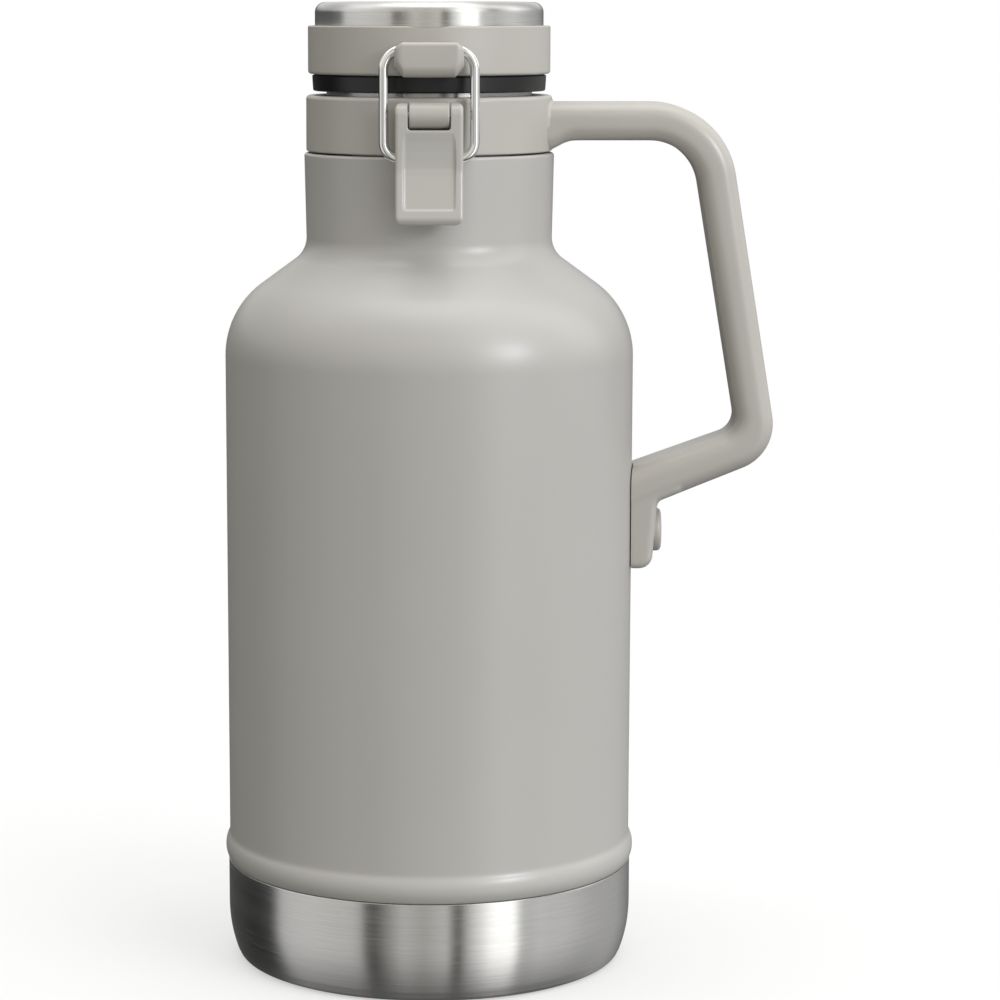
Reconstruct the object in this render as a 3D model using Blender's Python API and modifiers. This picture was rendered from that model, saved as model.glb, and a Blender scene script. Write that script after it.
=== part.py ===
"""Insulated steel growler: a double-wall vessel with a side handle, a hinged
stopper lid and a front wire-bail latch.

Frame: metres, +Z up. The origin is the centre of the underside, on the plane
the vessel stands on. The latch faces -Y, the handle is on +X and the lid
hinge is on +Y.

Sizes below are in millimetres and angles in degrees. A profile is a list of
(radius, z) points. Cutters are hidden helper solids for Boolean modifiers,
which add as well as remove.
"""
import bpy
import bmesh
from math import radians, degrees, sin, cos, tan, pi, sqrt, atan2
from mathutils import Matrix, Vector

for old in list(bpy.data.objects):
    bpy.data.objects.remove(old, do_unlink=True)

MM = 0.001

# --------------------------------------------------------- shared dimensions
ROUND_SEGS = 48          # turning steps of the large outer pieces
FLASK_SEGS = 40          # turning steps of the inner flask and the plug

BODY_R = 60.3            # painted body, outside
SHOULDER_SLOPE = 36.2    # degrees below horizontal
SHOULDER_R = 26.0        # convex arc into the body
SHOULDER_END_Z = 181.3
MOUTH_R = 30.1           # bare steel mouth, outside
SLOPE = radians(SHOULDER_SLOPE)

# Joint axes run along X; each is a (y, z) place.
HINGE = (41.2, 260.8)    # lid hinge
HINGE_KNUCKLE_R = 3.3
HINGE_PIN_R = 1.3
HINGE_BORE_R = HINGE_PIN_R + 0.15

LATCH = (-39.8, 253.0)   # lever
LATCH_Y, LATCH_Z = LATCH
LATCH_PIN_R = 1.1
BARREL_R = 3.75          # collar barrel on the lever axis
BARREL_HALF = 5.7        # half width of the barrel and of the lid's hinge knuckle

BAIL = (-39.3, 240.8)    # bail, low on the lever
BAIL_TOP = (-37.4, 271.4)
BAIL_WIRE_R = 1.4
BAIL_HALF_W = 12.9
BAIL_LOW_BEND, BAIL_TOP_BEND = 4.6, 5.7
BAIL_END_X = 6.9

SCREW_Z = 128.8          # foot screw axis, along X

# ---------------------------------------------------- collections, materials
growler = bpy.data.collections.new("growler")
cutters = bpy.data.collections.new("cutters")
for group in (growler, cutters):
    bpy.context.scene.collection.children.link(group)

PAINT = (0.42, 0.41, 0.385)
PLASTIC = (0.43, 0.41, 0.375)
STEEL = (0.62, 0.61, 0.59)


def material(name, colour, roughness, metallic=0.0):
    mat = bpy.data.materials.new(name)
    mat.use_nodes = True
    bsdf = mat.node_tree.nodes["Principled BSDF"]
    bsdf.inputs["Base Color"].default_value = (*colour, 1.0)
    bsdf.inputs["Roughness"].default_value = roughness
    bsdf.inputs["Metallic"].default_value = metallic
    return mat


def steel(name, roughness):
    return material(name, STEEL, roughness=roughness, metallic=1.0)


def plastic(name, roughness=0.36):
    return material(name, PLASTIC, roughness=roughness)


# ------------------------------------------------------------------ outlines
def arc(centre_a, centre_b, radius, start, end, steps):
    """Points on a circle between two angles, ends included."""
    angles = [radians(start + (end - start) * i / steps) for i in range(steps + 1)]
    return [(centre_a + radius * cos(t), centre_b + radius * sin(t)) for t in angles]


def rounded(corners, step):
    """A closed outline of (a, b, radius) corners, each rounded in arcs of about step degrees."""
    outline = []
    for i, (a, b, radius) in enumerate(corners):
        corner = Vector((a, b))
        if radius <= 0:
            outline.append(tuple(corner))
            continue
        to_last = (Vector(corners[i - 1][:2]) - corner).normalized()
        to_next = (Vector(corners[(i + 1) % len(corners)][:2]) - corner).normalized()
        half = to_last.angle(to_next) / 2
        reach = radius / tan(half)
        centre = (to_last + to_next).normalized() * (radius / sin(half)) + corner
        first = corner + to_last * reach - centre
        last = corner + to_next * reach - centre
        start = atan2(first.y, first.x)
        sweep = (atan2(last.y, last.x) - start + pi) % (2 * pi) - pi
        steps = max(2, round(abs(sweep) / radians(step)))
        outline += arc(centre.x, centre.y, radius, degrees(start), degrees(start + sweep), steps)
    return outline


def mirrored(half):
    """An outline's +X half followed by its mirror image, back to the start."""
    return half + [(-x, other) for x, other in reversed(half)]


def shoulder(neck_r, arc_r, body_r, arc_end_z, fillet_r, fillet_steps, arc_steps):
    """Neck fillet, straight slope and convex arc, top to bottom."""
    arc_centre_r = body_r - arc_r
    slope_end_r = arc_centre_r + arc_r * sin(SLOPE)
    slope_end_z = arc_end_z + arc_r * cos(SLOPE)
    meet_z = slope_end_z + (slope_end_r - neck_r) * tan(SLOPE)
    fillet_rise = fillet_r * tan((pi / 2 - SLOPE) / 2)
    points = arc(neck_r + fillet_r, meet_z + fillet_rise, fillet_r,
                 180, 270 - SHOULDER_SLOPE, fillet_steps)
    points += arc(arc_centre_r, arc_end_z, arc_r, 90 - SHOULDER_SLOPE, 0, arc_steps)
    return points


# -------------------------------------------------------------- constructors
def add(name, mesh, mat=None):
    """A growler piece if it has a material, otherwise a cutter."""
    obj = bpy.data.objects.new(name, mesh)
    if mat is None:
        cutters.objects.link(obj)
        obj.hide_render = True
        obj.display_type = 'WIRE'
    else:
        growler.objects.link(obj)
        mesh.materials.append(mat)
    return obj


def mesh_from(name, bm):
    mesh = bpy.data.meshes.new(name)
    bm.to_mesh(mesh)
    bm.free()
    return mesh


def turned(name, profile, segments, mat, at=(0, 0, 0)):
    """A profile turned round Z. One that starts on the axis is left open there."""
    bm = bmesh.new()
    verts = [bm.verts.new((r * MM, 0, z * MM)) for r, z in profile]
    pairs = list(zip(verts, verts[1:]))
    if profile[0][0] > 0:
        pairs.append((verts[-1], verts[0]))
    for pair in pairs:
        bm.edges.new(pair)
    obj = add(name, mesh_from(name, bm), mat)
    obj.location = [value * MM for value in at]
    screw = obj.modifiers.new("Turn", 'SCREW')
    screw.axis = 'Z'
    screw.angle = 2 * pi
    screw.steps = segments
    screw.render_steps = segments
    screw.use_merge_vertices = True
    screw.merge_threshold = 0.00001
    screw.use_smooth_shade = True
    return obj


def plate(name, outline, axis, low, high, mat=None, edge_round=0.0):
    """A flat outline given thickness along one axis, from low to high.

    axis 'Y': outline is (x, z).  axis 'X': outline is (y, z).
    """
    middle = (low + high) / 2 * MM
    bm = bmesh.new()
    if axis == 'Y':
        verts = [bm.verts.new((a * MM, 0, b * MM)) for a, b in outline]
        place = (0, middle, 0)
    else:
        verts = [bm.verts.new((0, a * MM, b * MM)) for a, b in outline]
        place = (middle, 0, 0)
    edges = [bm.edges.new((verts[i - 1], verts[i])) for i in range(len(verts))]
    bmesh.ops.edgeloop_fill(bm, edges=edges)
    obj = add(name, mesh_from(name, bm), mat)
    obj.location = place
    solid = obj.modifiers.new("Thickness", 'SOLIDIFY')
    solid.thickness = (high - low) * MM
    solid.offset = 0.0
    if edge_round > 0:
        bevel = obj.modifiers.new("Edges", 'BEVEL')
        bevel.width = edge_round * MM
        bevel.segments = 2
        bevel.limit_method = 'ANGLE'
        bevel.angle_limit = radians(50)
    return obj


def rod(name, radius, start, end, segments, mat=None):
    """A round bar between two points."""
    start, end = Vector(start) * MM, Vector(end) * MM
    bm = bmesh.new()
    bmesh.ops.create_cone(bm, cap_ends=True, segments=segments, radius1=radius * MM,
                          radius2=radius * MM, depth=(end - start).length)
    obj = add(name, mesh_from(name, bm), mat)
    obj.location = (start + end) / 2
    obj.rotation_mode = 'QUATERNION'
    obj.rotation_quaternion = (end - start).to_track_quat('Z', 'Y')
    return obj


def cross_rod(name, radius, x0, x1, axis, segments, mat=None):
    """A round bar along X from x0 to x1, on an axis given as (y, z)."""
    return rod(name, radius, (x0, *axis), (x1, *axis), segments, mat)


def block(name, low, high):
    """A box cutter from its low corner to its high corner."""
    size = [(h - l) * MM for l, h in zip(low, high)]
    bm = bmesh.new()
    bmesh.ops.create_cube(bm, size=1.0, matrix=Matrix.Diagonal((*size, 1.0)))
    obj = add(name, mesh_from(name, bm))
    obj.location = [(h + l) / 2 * MM for l, h in zip(low, high)]
    return obj


def combine(obj, operation, others):
    for other in others:
        mod = obj.modifiers.new(other.name, 'BOOLEAN')
        mod.operation = operation
        mod.solver = 'EXACT'
        mod.object = other


def cut(obj, *others):
    combine(obj, 'DIFFERENCE', others)


def join(obj, *others):
    combine(obj, 'UNION', others)


def joint(name, axis):
    """An empty on a joint axis, the parent of that joint's pieces."""
    empty = bpy.data.objects.new(name, None)
    empty.empty_display_size = 0.01
    growler.objects.link(empty)
    empty.location = (0, axis[0] * MM, axis[1] * MM)
    return empty


def hang(empty, *objs):
    """Parent objects to a joint without moving them."""
    for obj in objs:
        obj.parent = empty
        obj.matrix_parent_inverse = Matrix.Translation(empty.location).inverted()


# ------------------------------------------------------------------ the shell
SHELL_WALL = 0.7
NECK_TOP_R = 36.66       # painted neck, upper end
NECK_LOW_R = 36.15       # painted neck, lower end
NECK_TOP_Z = 240.95
NECK_BORE_R = MOUTH_R + 0.5
NECK_EDGE_R = 0.8        # rounding of the neck's upper edge
NECK_FLAT_R = NECK_TOP_R - 0.9
NECK_FILLET_R = 8.0
BODY_LOW_R = 60.15       # painted body just above the bead
BEAD_Z = 33.6            # rolled bead round the foot of the shell
BEAD_HALF = 3.85
BEAD_RISE = 1.2


def bead():
    """The rolled bead's outer face, top to bottom."""
    radius = (BEAD_HALF ** 2 + BEAD_RISE ** 2) / (2 * BEAD_RISE)
    half_angle = degrees(2 * atan2(BEAD_RISE, BEAD_HALF))
    return arc(BODY_LOW_R + BEAD_RISE - radius, BEAD_Z, radius, half_angle, -half_angle, 6)


def make_outer_shell():
    outside = [(NECK_BORE_R, NECK_TOP_Z), (NECK_FLAT_R, NECK_TOP_Z)]
    outside += arc(NECK_TOP_R - NECK_EDGE_R, NECK_TOP_Z - NECK_EDGE_R, NECK_EDGE_R, 60, 0, 2)
    outside += shoulder(NECK_LOW_R, SHOULDER_R, BODY_R, SHOULDER_END_Z, NECK_FILLET_R,
                        fillet_steps=3, arc_steps=6)
    outside += bead()
    inside = [(NECK_BORE_R, NECK_TOP_Z - SHELL_WALL),
              (NECK_TOP_R - SHELL_WALL, NECK_TOP_Z - SHELL_WALL)]
    inside += shoulder(NECK_LOW_R - SHELL_WALL, SHOULDER_R - SHELL_WALL, BODY_R - SHELL_WALL,
                       SHOULDER_END_Z, NECK_FILLET_R + SHELL_WALL, fillet_steps=2, arc_steps=4)
    inside += [(BODY_LOW_R - SHELL_WALL, BEAD_Z - BEAD_HALF)]
    turned("outer_shell", outside + inside[::-1], ROUND_SEGS,
           material("shell_paint", PAINT, roughness=0.42))


# ------------------------------------------------------------------- the base
BASE_R = 60.5
BASE_TOP_Z = 29.45
BASE_WALL = 0.8
BASE_RIM_R = BASE_R - 1.3        # stepped-in rim, inside the shell
BASE_RIM_Z = BASE_TOP_Z + 4.5
BASE_CURVE_Z = 17.0              # where the side starts to curve in
BASE_CURVE_IN = 2.4
BASE_CURVE_POWER = 2.2
FOOT_R = 2.5                     # rounding of the foot corner
FOOT_CENTRE_R = BASE_R - BASE_CURVE_IN - FOOT_R - 0.3
UNDERSIDE = [(49.4, 0.0), (48.6, 1.2), (2.6, 1.2)]     # recess and its centre hole
UNDERSIDE_IN = [(50.0, 0.8), (49.2, 2.0), (2.6, 2.0)]  # its upper face
BASE_DISC_R = 47.8


def base_side(inward, curve_steps, foot_steps):
    """Curved side and foot corner, set in from the outside, top to bottom."""
    points = []
    for i in range(curve_steps + 1):
        fraction = i / curve_steps
        points.append((BASE_R - inward - BASE_CURVE_IN * fraction ** BASE_CURVE_POWER,
                       BASE_CURVE_Z - (BASE_CURVE_Z - FOOT_R) * fraction))
    return points + arc(FOOT_CENTRE_R, FOOT_R, FOOT_R - inward, -20, -90, foot_steps)


def make_base_cup():
    outside = [(BASE_RIM_R, BASE_RIM_Z), (BASE_RIM_R, BASE_TOP_Z), (BASE_R, BASE_TOP_Z)]
    outside += base_side(0.0, curve_steps=4, foot_steps=3) + UNDERSIDE
    inside = [(BASE_RIM_R - BASE_WALL, BASE_RIM_Z), (BASE_RIM_R - BASE_WALL, BASE_TOP_Z - 1.0),
              (BASE_R - BASE_WALL, BASE_TOP_Z - 2.4)]
    inside += base_side(BASE_WALL, curve_steps=2, foot_steps=1) + UNDERSIDE_IN
    turned("base_cup", outside + inside[::-1], ROUND_SEGS, steel("base_steel", roughness=0.32))


def make_base_disc():
    profile = [(0, 0.9), (BASE_DISC_R - 0.3, 0.9), (BASE_DISC_R, 0.6), (BASE_DISC_R, 0.25),
               (BASE_DISC_R - 0.25, 0.0), (0, 0.0)]
    turned("base_disc", profile, 32, steel("disc_steel", roughness=0.35))


def make_vacuum_seal():
    """The plug in the base cup's centre hole."""
    profile = [(0, 2.6), (1.6, 2.5), (2.2, 2.1), (2.2, 1.3), (0, 1.3)]
    turned("vacuum_seal", profile, 16, material("seal_glass", (0.25, 0.26, 0.25), roughness=0.2))


# ------------------------------------------------------------ the inner flask
MOUTH_BORE_R = 27.9
MOUTH_TOP_Z = 260.9
MOUTH_SKIRT_Z = 238.6    # lower end of the wall folded down outside the mouth
LINER_WALL = 0.6
LINER_R = 56.5
LINER_ARC_R = 22.0
LINER_FILLET_R = 8.0
LINER_LOW_Z = 9.6
LINER_DROP = 5.08        # vertical distance of the liner shoulder below the shell shoulder
FLOOR_R = LINER_R - LINER_WALL - 0.3
FLOOR = [(0, 15.6), (20, 15.3), (40, 14.2), (52, 12.2), (FLOOR_R, 10.6)]  # upper face


def make_inner_flask():
    # where the two straight slopes end, to set the liner's slope LINER_DROP below the shell's
    liner_slope_r = LINER_R - LINER_ARC_R + LINER_ARC_R * sin(SLOPE)
    shell_slope_r = BODY_R - SHOULDER_R + SHOULDER_R * sin(SLOPE)
    arc_end_z = (SHOULDER_END_Z - LINER_DROP + (SHOULDER_R - LINER_ARC_R) * cos(SLOPE)
                 - (liner_slope_r - shell_slope_r) * tan(SLOPE))
    lip_r = (MOUTH_R - MOUTH_BORE_R) / 2
    lip_centre = ((MOUTH_R + MOUTH_BORE_R) / 2, MOUTH_TOP_Z - lip_r)
    lip_z = lip_centre[1]

    profile = [(MOUTH_R, lip_z), (MOUTH_R, MOUTH_SKIRT_Z),
               (MOUTH_R - LINER_WALL, MOUTH_SKIRT_Z), (MOUTH_R - LINER_WALL, lip_z)]
    profile += arc(*lip_centre, lip_r - LINER_WALL, 60, 180, 2)
    profile += shoulder(MOUTH_BORE_R + LINER_WALL, LINER_ARC_R, LINER_R, arc_end_z,
                        LINER_FILLET_R, fillet_steps=2, arc_steps=4)
    profile += [(LINER_R, LINER_LOW_Z), (LINER_R - LINER_WALL, LINER_LOW_Z)]
    profile += shoulder(MOUTH_BORE_R, LINER_ARC_R - LINER_WALL, LINER_R - LINER_WALL, arc_end_z,
                        LINER_FILLET_R + LINER_WALL, fillet_steps=2, arc_steps=4)[::-1]
    profile += [(MOUTH_BORE_R, lip_z)]
    profile += arc(*lip_centre, lip_r, 144, 36, 3)
    turned("inner_flask", profile, FLASK_SEGS, steel("flask_steel", roughness=0.25))


def make_inner_bottom():
    underside = [(r, z - LINER_WALL) for r, z in reversed(FLOOR)]
    turned("inner_bottom", FLOOR + underside, FLASK_SEGS, steel("bottom_steel", roughness=0.25))


def make_getter():
    """A small disc below the middle of the flask floor."""
    profile = [(0, 14.6), (5.2, 14.6), (5.5, 14.3), (5.5, 12.1), (0, 12.1)]
    turned("getter", profile, 16,
           material("getter_metal", (0.3, 0.3, 0.3), roughness=0.6, metallic=0.6))


# ------------------------------------------- foot screw of the handle, on +X
BOSS_R = 6.0

# round bars on the foot screw axis: radius, x from, x to, segments
FOOT_RODS = {
    "boss_pocket": (BOSS_R + 0.4, 55, 63.6, 24),
    "screw_hole": (2.4, 60, 70, 16),
    "screw_counterbore": (4.6, 64.5, 75, 24),
    "cap_seat": (6.8, 66.5, 75, 32),
    "handle_boss": (BOSS_R, 58.5, 63.3, 24),
    "thread_hole": (2.0, 61.0, 70, 16),
    "foot_washer": (4.2, 64.6, 65.1, 24),
    "washer_hole": (2.3, 60, 70, 16),
    "foot_screw": (1.8, 61.2, 65.8, 16),
    "screw_head": (3.7, 65.2, 66.35, 24),
    "drive_hole": (1.3, 65.7, 70, 6),
}
FOOT_CAP_X = 66.75       # back of the cap over the screw


def foot_rod(name, mat=None):
    radius, x0, x1, segments = FOOT_RODS[name]
    return cross_rod(name, radius, x0, x1, (0, SCREW_Z), segments, mat)


def body_cutter(name, clearance, z0, z1):
    """A cylinder that keeps a piece clear of the painted body."""
    return rod(name, BODY_R + clearance, (0, 0, z0), (0, 0, z1), ROUND_SEGS)


def make_handle_boss():
    boss = foot_rod("handle_boss", steel("boss_steel", roughness=0.35))
    cut(boss, body_cutter("shell_clear", 0.2, 110, 150), foot_rod("thread_hole"))


def make_foot_washer():
    washer = foot_rod("foot_washer", steel("washer_steel", roughness=0.3))
    cut(washer, foot_rod("washer_hole"))


def make_foot_screw():
    screw = foot_rod("foot_screw", steel("screw_steel", roughness=0.3))
    join(screw, foot_rod("screw_head"))
    cut(screw, foot_rod("drive_hole"))


def make_foot_screw_cap():
    """A domed cap, turned round Z and tipped to face +X."""
    profile = [(0, 2.4), (3.2, 2.3)] + arc(5.3, 1.0, 1.15, 70, 0, 2) + [(6.45, 0.0), (0, 0.0)]
    cap = turned("foot_screw_cap", profile, 24, plastic("cap_plastic"),
                 at=(FOOT_CAP_X, 0, SCREW_Z))
    cap.rotation_euler = (0, radians(90), 0)


# ------------------------------------------------------- collar with handle
COLLAR_R = 36.05
COLLAR_BORE_R = 30.5
COLLAR_Z0, COLLAR_Z1 = 241.45, 257.7
COLLAR_ROUND = 1.2               # upper outside edge
COLLAR_TOP_BEVEL = 0.4           # upper inside edge
COLLAR_LOW_BEVEL = 0.3           # lower outside edge
HANDLE_HALF_W = 11.0
HANDLE_ROUND = 3.2
EAR_X0, EAR_X1 = 6.0, 10.0       # hinge ears, either side of the lid's knuckle
WEB_HALF_H = 3.4                 # web between the latch barrel and the collar
WEB_BACK_Y = -34.5

# x, z, corner radius: along the outside of the grip to the foot, then back inside it
HANDLE_CORNERS = [
    (31.0, 255.65, 0), (86.98, 255.65, 25.0), (104.2, 151.5, 14.0), (67.7, 137.0, 1.8),
    (66.0, 117.15, 3.0), (58.5, 117.15, 0), (57.5, 147.3, 0), (91.2, 159.5, 6.0),
    (77.0, 244.35, 15.0), (40.6, 244.35, 7.0), (35.4, 241.5, 0), (31.0, 241.5, 0),
]


def hinge_hole(name):
    return cross_rod(name, HINGE_BORE_R, -14, 14, HINGE, 24)


def make_hinge_ears():
    """Two ears in (y, z): a round eye on a foot that meets the collar."""
    outline = [(33.6, 246.0), (36.6, 246.0)]
    outline += arc(*HINGE, HINGE_KNUCKLE_R, -15, 165, 12)
    outline += [(36.4, 257.2), (33.6, 256.6)]
    return [plate("ear_pos", outline, 'X', EAR_X0, EAR_X1),
            plate("ear_neg", outline, 'X', -EAR_X1, -EAR_X0)]


def make_handle_collar(latch_bore):
    ring = [(COLLAR_BORE_R, COLLAR_Z1 - COLLAR_TOP_BEVEL),
            (COLLAR_BORE_R + COLLAR_TOP_BEVEL, COLLAR_Z1)]
    ring += arc(COLLAR_R - COLLAR_ROUND, COLLAR_Z1 - COLLAR_ROUND, COLLAR_ROUND, 90, 0, 3)
    ring += [(COLLAR_R, COLLAR_Z0 + COLLAR_LOW_BEVEL), (COLLAR_R - COLLAR_LOW_BEVEL, COLLAR_Z0),
             (COLLAR_BORE_R, COLLAR_Z0)]
    collar = turned("handle_collar", ring, ROUND_SEGS, plastic("handle_plastic"))
    handle = plate("handle_blank", rounded(HANDLE_CORNERS, step=16), 'Y',
                   -HANDLE_HALF_W, HANDLE_HALF_W, edge_round=HANDLE_ROUND)
    web = block("latch_web", (-BARREL_HALF, LATCH_Y, LATCH_Z - WEB_HALF_H),
                (BARREL_HALF, WEB_BACK_Y, LATCH_Z + WEB_HALF_H))
    barrel = cross_rod("latch_barrel", BARREL_R, -BARREL_HALF, BARREL_HALF, LATCH, 24)
    join(collar, handle, web, barrel, *make_hinge_ears())
    cut(collar, body_cutter("body_clear", 0.3, 95, 170), latch_bore, hinge_hole("hinge_bore"),
        foot_rod("boss_pocket"), foot_rod("screw_hole"), foot_rod("screw_counterbore"),
        foot_rod("cap_seat"))


# ------------------------------------------------------------------- the pins
HINGE_PIN_HALF = 10.3
LATCH_PIN_HALF = 9.3


def make_pins():
    cross_rod("lid_hinge_pin", HINGE_PIN_R, -HINGE_PIN_HALF, HINGE_PIN_HALF, HINGE, 24,
              steel("pin_steel", roughness=0.25))
    cross_rod("latch_pin", LATCH_PIN_R, -LATCH_PIN_HALF, LATCH_PIN_HALF, LATCH, 20,
              steel("latch_pin_steel", roughness=0.25))


# ------------------------------------------------------------------ the lever
LEVER_HALF_W = 9.5
LEVER_ROUND = 0.8
LEVER_EAR_R = 3.55
LEVER_BACK_Y = -37.2
SLOT_HALF = 6.05                 # slot round the collar's barrel
SLOT_BELOW, SLOT_ABOVE = 4.05, 8.0
PANEL_HALF_W = 7.3               # recess in the lever's front face
PANEL_TOP_Z = LATCH_Z + 1.0
BAIL_HOLE_R = BAIL_WIRE_R + 0.25
BAIL_HOLE_X0, BAIL_HOLE_X1 = BAIL_END_X - 0.4, 14

# y, z: down the front, round the tip and up the back
LEVER_TAIL = [
    (LATCH_Y - LEVER_EAR_R - 0.05, 237.0), (-46.7, 223.6), (-46.3, 222.6), (-45.6, 222.3),
    (-43.2, 222.3), (-42.6, 222.8), (-39.4, 234.0), (-38.2, 236.6), (LEVER_BACK_Y, 237.6),
]
# y, z: the first three points are the floor of the recess
PANEL = [(-42.55, PANEL_TOP_Z), (-42.55, 237.2), (-45.35, 226.8), (-52, 226.8),
         (-52, PANEL_TOP_Z)]


def make_latch_lever(latch_bore, lever_axis):
    ear_low_z = LATCH_Z - sqrt(LEVER_EAR_R ** 2 - (LEVER_BACK_Y - LATCH_Y) ** 2)
    outline = [(LEVER_BACK_Y, ear_low_z)] + arc(*LATCH, LEVER_EAR_R, -20, 180, 12) + LEVER_TAIL
    lever = plate("latch_lever", outline, 'X', -LEVER_HALF_W, LEVER_HALF_W,
                  plastic("lever_plastic", roughness=0.3), edge_round=LEVER_ROUND)
    slot = block("lever_slot", (-SLOT_HALF, -50, LATCH_Z - SLOT_BELOW),
                 (SLOT_HALF, -30, LATCH_Z + SLOT_ABOVE))
    slot_round = cross_rod("lever_slot_round", BARREL_R + 0.3, -SLOT_HALF, SLOT_HALF, LATCH, 32)
    panel = plate("lever_panel", PANEL, 'X', -PANEL_HALF_W, PANEL_HALF_W)
    holes = [cross_rod("bail_hole_pos", BAIL_HOLE_R, BAIL_HOLE_X0, BAIL_HOLE_X1, BAIL, 24),
             cross_rod("bail_hole_neg", BAIL_HOLE_R, -BAIL_HOLE_X1, -BAIL_HOLE_X0, BAIL, 24)]
    cut(lever, slot, slot_round, panel, latch_bore, *holes)
    hang(lever_axis, lever, slot, slot_round, panel, *holes)


# ------------------------------------------------------------------- the bail
def bail_points():
    """The wire's centre line in millimetres, from one end in the lever to the other."""
    foot = Vector((0, *BAIL))
    rise = Vector((0, *BAIL_TOP)) - foot
    length = rise.length
    rise.normalize()
    # x, distance up the bail
    half = [(BAIL_END_X, 0.0)]
    half += arc(BAIL_HALF_W - BAIL_LOW_BEND, BAIL_LOW_BEND, BAIL_LOW_BEND, -90, 0, 6)
    half += arc(BAIL_HALF_W - BAIL_TOP_BEND, length - BAIL_TOP_BEND, BAIL_TOP_BEND, 0, 90, 6)
    return [Vector((x, 0, 0)) + foot + rise * up for x, up in mirrored(half)]


def make_latch_bail(bail_axis):
    """A bevelled curve turned into a mesh."""
    curve = bpy.data.curves.new("bail_wire", 'CURVE')
    curve.dimensions = '3D'
    curve.bevel_depth = BAIL_WIRE_R * MM
    curve.bevel_resolution = 2
    curve.use_fill_caps = True
    points = bail_points()
    spline = curve.splines.new('POLY')
    spline.points.add(len(points) - 1)
    for spline_point, place in zip(spline.points, points):
        spline_point.co = (*(place * MM), 1.0)
    wire = bpy.data.objects.new("bail_wire", curve)
    bpy.context.scene.collection.objects.link(wire)
    bpy.context.view_layer.update()
    depsgraph = bpy.context.evaluated_depsgraph_get()
    mesh = bpy.data.meshes.new_from_object(wire.evaluated_get(depsgraph))
    bpy.data.objects.remove(wire, do_unlink=True)

    # weld the end caps to the tube
    bm = bmesh.new()
    bm.from_mesh(mesh)
    bmesh.ops.remove_doubles(bm, verts=bm.verts, dist=0.00001)
    bm.to_mesh(mesh)
    bm.free()
    mesh.materials.clear()
    chrome = material("bail_chrome", (0.8, 0.8, 0.79), roughness=0.1, metallic=1.0)
    hang(bail_axis, add("latch_bail", mesh, chrome))


# -------------------------------------------------------------------- the lid
BAND_R = 35.45
BAND_Z0, BAND_Z1 = 263.85, 277.8
LUG_HALF_W = 9.9                 # front lug that the bail hooks over
LUG_Z0, LUG_Z1 = 263.5, 273.4
LUG_CHAMFER = 2.3
LUG_ROUND = 0.7
LUG_FRONT_Y, LUG_BACK_Y = -42.6, -33.8
GROOVE_FRONT_Y, GROOVE_BACK_Y = -40.9, -35.6
GROOVE_HALF_W, GROOVE_TOP_Z = 16, 282
DIP_HALF_W, DIP_DEPTH = 6.0, 0.55        # shallow dip in the band's front upper edge
CAP_R = 33.4
CAP_TOP_Z, CAP_LOW_Z = 284.8, 275.9
CAP_ROUND = 2.9
CAP_WALL = 0.6
SKIRT_TOP_R, SKIRT_LOW_R = 34.25, 33.95
SKIRT_Z0, SKIRT_Z1 = 258.9, 263.55
PLUG_R = 26.7
PLUG_Z0 = 249.0
LID_SCREW_COUNT = 3
LID_SCREW_CIRCLE_R = 29.0
LID_SCREW_HOLE_R = 1.45

BAND = [
    (33.75, BAND_Z1), (BAND_R - 0.4, BAND_Z1), (BAND_R, BAND_Z1 - 0.4), (BAND_R, BAND_Z0 + 0.9),
    (BAND_R - 0.9, BAND_Z0), (33.0, BAND_Z0), (33.0, 264.9), (26.6, 264.9), (26.6, 266.4),
    (31.2, 266.4), (31.2, 275.6), (33.75, 275.6),
]
PLUG = [
    (0, PLUG_Z0 + 1.4), (25.2, PLUG_Z0 + 1.4), (25.2, 264.6), (32.7, 264.6), (32.7, SKIRT_Z1),
    (SKIRT_TOP_R, SKIRT_Z1), (SKIRT_LOW_R, SKIRT_Z0), (32.4, SKIRT_Z0), (32.4, 262.6),
    (PLUG_R, 262.6), (PLUG_R, PLUG_Z0 + 1.5), (PLUG_R - 1.1, PLUG_Z0), (0, PLUG_Z0),
]
GASKET = [(27.3, 262.1), (27.6, 262.35), (31.2, 262.35), (31.6, 262.0), (31.4, 261.15),
          (27.6, 261.15)]
FOAM = [(0, 283.6), (24.2, 283.6), (24.9, 282.9), (24.9, 250.8), (0, 250.8)]
LID_SCREW = [(0, 268.1), (1.7, 268.1), (1.9, 267.8), (1.9, 266.7), (1.2, 266.7), (1.2, 263.3),
             (0, 263.3)]


def make_lug(lid_axis):
    flat_x = LUG_HALF_W - LUG_CHAMFER
    low_z, high_z = LUG_Z0 + LUG_CHAMFER, LUG_Z1 - LUG_CHAMFER
    outline = [(-flat_x, LUG_Z1), (flat_x, LUG_Z1), (LUG_HALF_W, high_z), (LUG_HALF_W, low_z),
               (flat_x, LUG_Z0), (-flat_x, LUG_Z0), (-LUG_HALF_W, low_z), (-LUG_HALF_W, high_z)]
    lug = plate("lug", outline, 'Y', LUG_FRONT_Y, LUG_BACK_Y, edge_round=LUG_ROUND)

    # the groove follows the underside of the wire, so its corners drop where the wire bends down
    bend_x, bend_z = BAIL_HALF_W - BAIL_TOP_BEND, BAIL_TOP[1] - BAIL_TOP_BEND
    half = [(GROOVE_HALF_W, GROOVE_TOP_Z), (GROOVE_HALF_W, bend_z)]
    half += arc(bend_x, bend_z, BAIL_TOP_BEND - BAIL_WIRE_R - 0.3, 0, 90, 5)
    groove = plate("lug_groove", mirrored(half), 'Y', GROOVE_FRONT_Y, GROOVE_BACK_Y)
    # cut from the lug before the lug is joined, so the band behind stays whole
    cut(lug, groove)
    hang(lid_axis, lug, groove)
    return lug


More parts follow.
